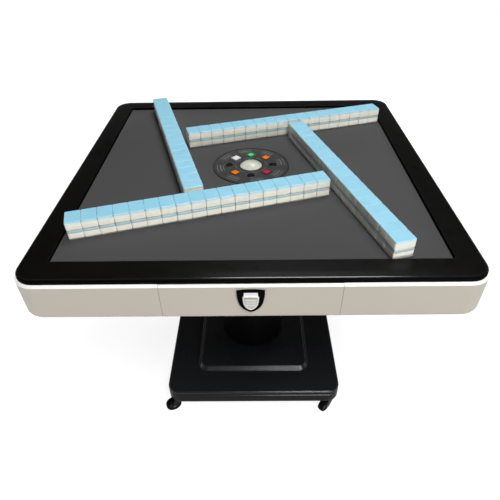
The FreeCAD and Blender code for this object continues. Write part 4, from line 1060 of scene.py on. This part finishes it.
# CAD nodes that keep their shape

keptFinish = dict(ballastIron="base_frame", boardWood="top_board", brass="riser_guides", inletBlack="power_inlet",
                  zincSteel="chassis_floor chassis_frame centre_post drawer_runners",
                  innerPlastic="hopper_bowl turntable tile_channels", motorGrey="control_box drive_motors",
                  risersAlu="riser_front riser_right riser_back riser_left")
for look, kept in keptFinish.items():
    for node in kept.split():
        nodes[node].data.materials.clear()
        nodes[node].data.materials.append(finishes[look])
print("kept nodes finished")


# floor, light and camera

ground = dict(reach=30, rough=0.9, dark=(0.29, 0.29, 0.29, 1), pale=(0.31, 0.31, 0.31, 1), cloudScale=1.5,
              lift=(0.86, 1), liftSpan=(0.7, 2))


def makeFloor():
    # a flat square; camera, mirror and glass rays see it lifted towards white, fully so far from the table, and
    # near the table it still takes the shadow
    g, reach = ground, ground["reach"]
    mesh = bpy.data.meshes.new("floor")
    corners = [(-reach, -reach, 0), (reach, -reach, 0), (reach, reach, 0), (-reach, reach, 0)]
    mesh.from_pydata(corners, [], [(0, 1, 2, 3)])
    mat, where = newFinish("floorPale", {"Roughness": g["rough"], "Specular IOR Level": 0,
                                         "Emission Color": (1, 1, 1, 1)})
    link(mat, blend(mat, noise(mat, where, g["cloudScale"]), g["dark"], g["pale"]), "Base Color")
    path = addNode(mat, "LightPath").outputs
    seen = math2(mat, "MAXIMUM", path["Is Camera Ray"], path["Is Glossy Ray"])
    seen = math2(mat, "MAXIMUM", seen, path["Is Transmission Ray"])
    far = addNode(mat, "VectorMath", {0: where}, operation="LENGTH").outputs["Value"]
    lift = spread(mat, far, *g["lift"], *g["liftSpan"])
    link(mat, math2(mat, "MULTIPLY", seen, lift), "Emission Strength")
    mesh.materials.append(mat)
    addObject("floor", mesh)


# the fill lamps only lift the dim sides and aren't mirrored; the low ones stand below the table's top, so that
# the tiles don't catch them
tableMiddle = (0, 0, 0.72)
lamps = [dict(name="keySoft", place=(0.8, -2.12, 3.6), size=(1, 1), watts=83),
         dict(name="frontSoft", place=(1, -3.05, 1), aim=(-1.2, -0.5, 0.72), size=(2.4, 0.45), watts=45),
         dict(name="topSoft", place=(0.45, 1.2, 3.6), size=(1.6, 1), watts=45),
         dict(name="backSoft", place=(1.5, 3, 1.15), size=(1.6, 0.6), watts=44, fill=True),
         dict(name="leftLow", place=(-3, 0.6, 0.55), size=(2, 0.4), watts=28, fill=True),
         dict(name="frontLow", place=(-1.6, -2.1, 0.32), size=(1.2, 0.3), watts=12, fill=True)]


def makeLamps():
    for lamp in lamps:
        data = bpy.data.lights.new(lamp["name"], "AREA")
        data.shape, data.size, data.size_y, data.energy = "RECTANGLE", *lamp["size"], lamp["watts"]
        light = addObject(lamp["name"], data)
        place = Vector(lamp["place"])
        turn = (Vector(lamp.get("aim", tableMiddle)) - place).to_track_quat("-Z", "Y")
        light.matrix_world = Matrix.Translation(place) @ turn.to_matrix().to_4x4()
        light.visible_camera = False
        light.visible_glossy = not lamp.get("fill", False)


studio = dict(horizon=(0.04, 0.2), level=0.03)


def makeWorld():
    # the walls round the studio are white to the camera, and near the horizon to mirror and glass rays too; what
    # they light is lit at the low even level
    world = scene.world = scene.world or bpy.data.worlds.new("studio")
    world.use_nodes = True
    world.node_tree.nodes["Background"].inputs["Color"].default_value = (1, 1, 1, 1)
    path = addNode(world, "LightPath").outputs
    toward = addNode(world, "TexCoord").outputs["Generated"]
    rise = addNode(world, "SeparateXYZ", {0: toward}).outputs["Z"]
    bounced = math2(world, "MAXIMUM", path["Is Glossy Ray"], path["Is Transmission Ray"])
    low = math2(world, "MULTIPLY", bounced, spread(world, rise, 1, 0, *studio["horizon"]))
    seen = math2(world, "MAXIMUM", path["Is Camera Ray"], low)
    link(world, math2(world, "MAXIMUM", seen, studio["level"]), "Strength", "Background")


view = dict(place=(9.05, -1097.7, 1350.24), yaw=-0.829, pitch=38.688, roll=-1.0255, lens=32.098, sensor=36,
            far=200)


def makeCamera():
    data = bpy.data.cameras.new("tableView")
    data.lens, data.sensor_width, data.clip_end = take(view, "lens sensor far")
    spot = Matrix.Translation(Vector(view["place"]) * mm)
    for angle, axis in ((-view["yaw"], "Z"), (90 - view["pitch"], "X"), (view["roll"], "Z")):
        spot = spot @ Matrix.Rotation(math.radians(angle), 4, axis)
    scene.camera = addObject("tableView", data)
    scene.camera.matrix_world = spot


makeFloor()
makeLamps()
makeWorld()
makeCamera()
scene.view_settings.view_transform = "Standard"
print("floor, lamps and camera set")
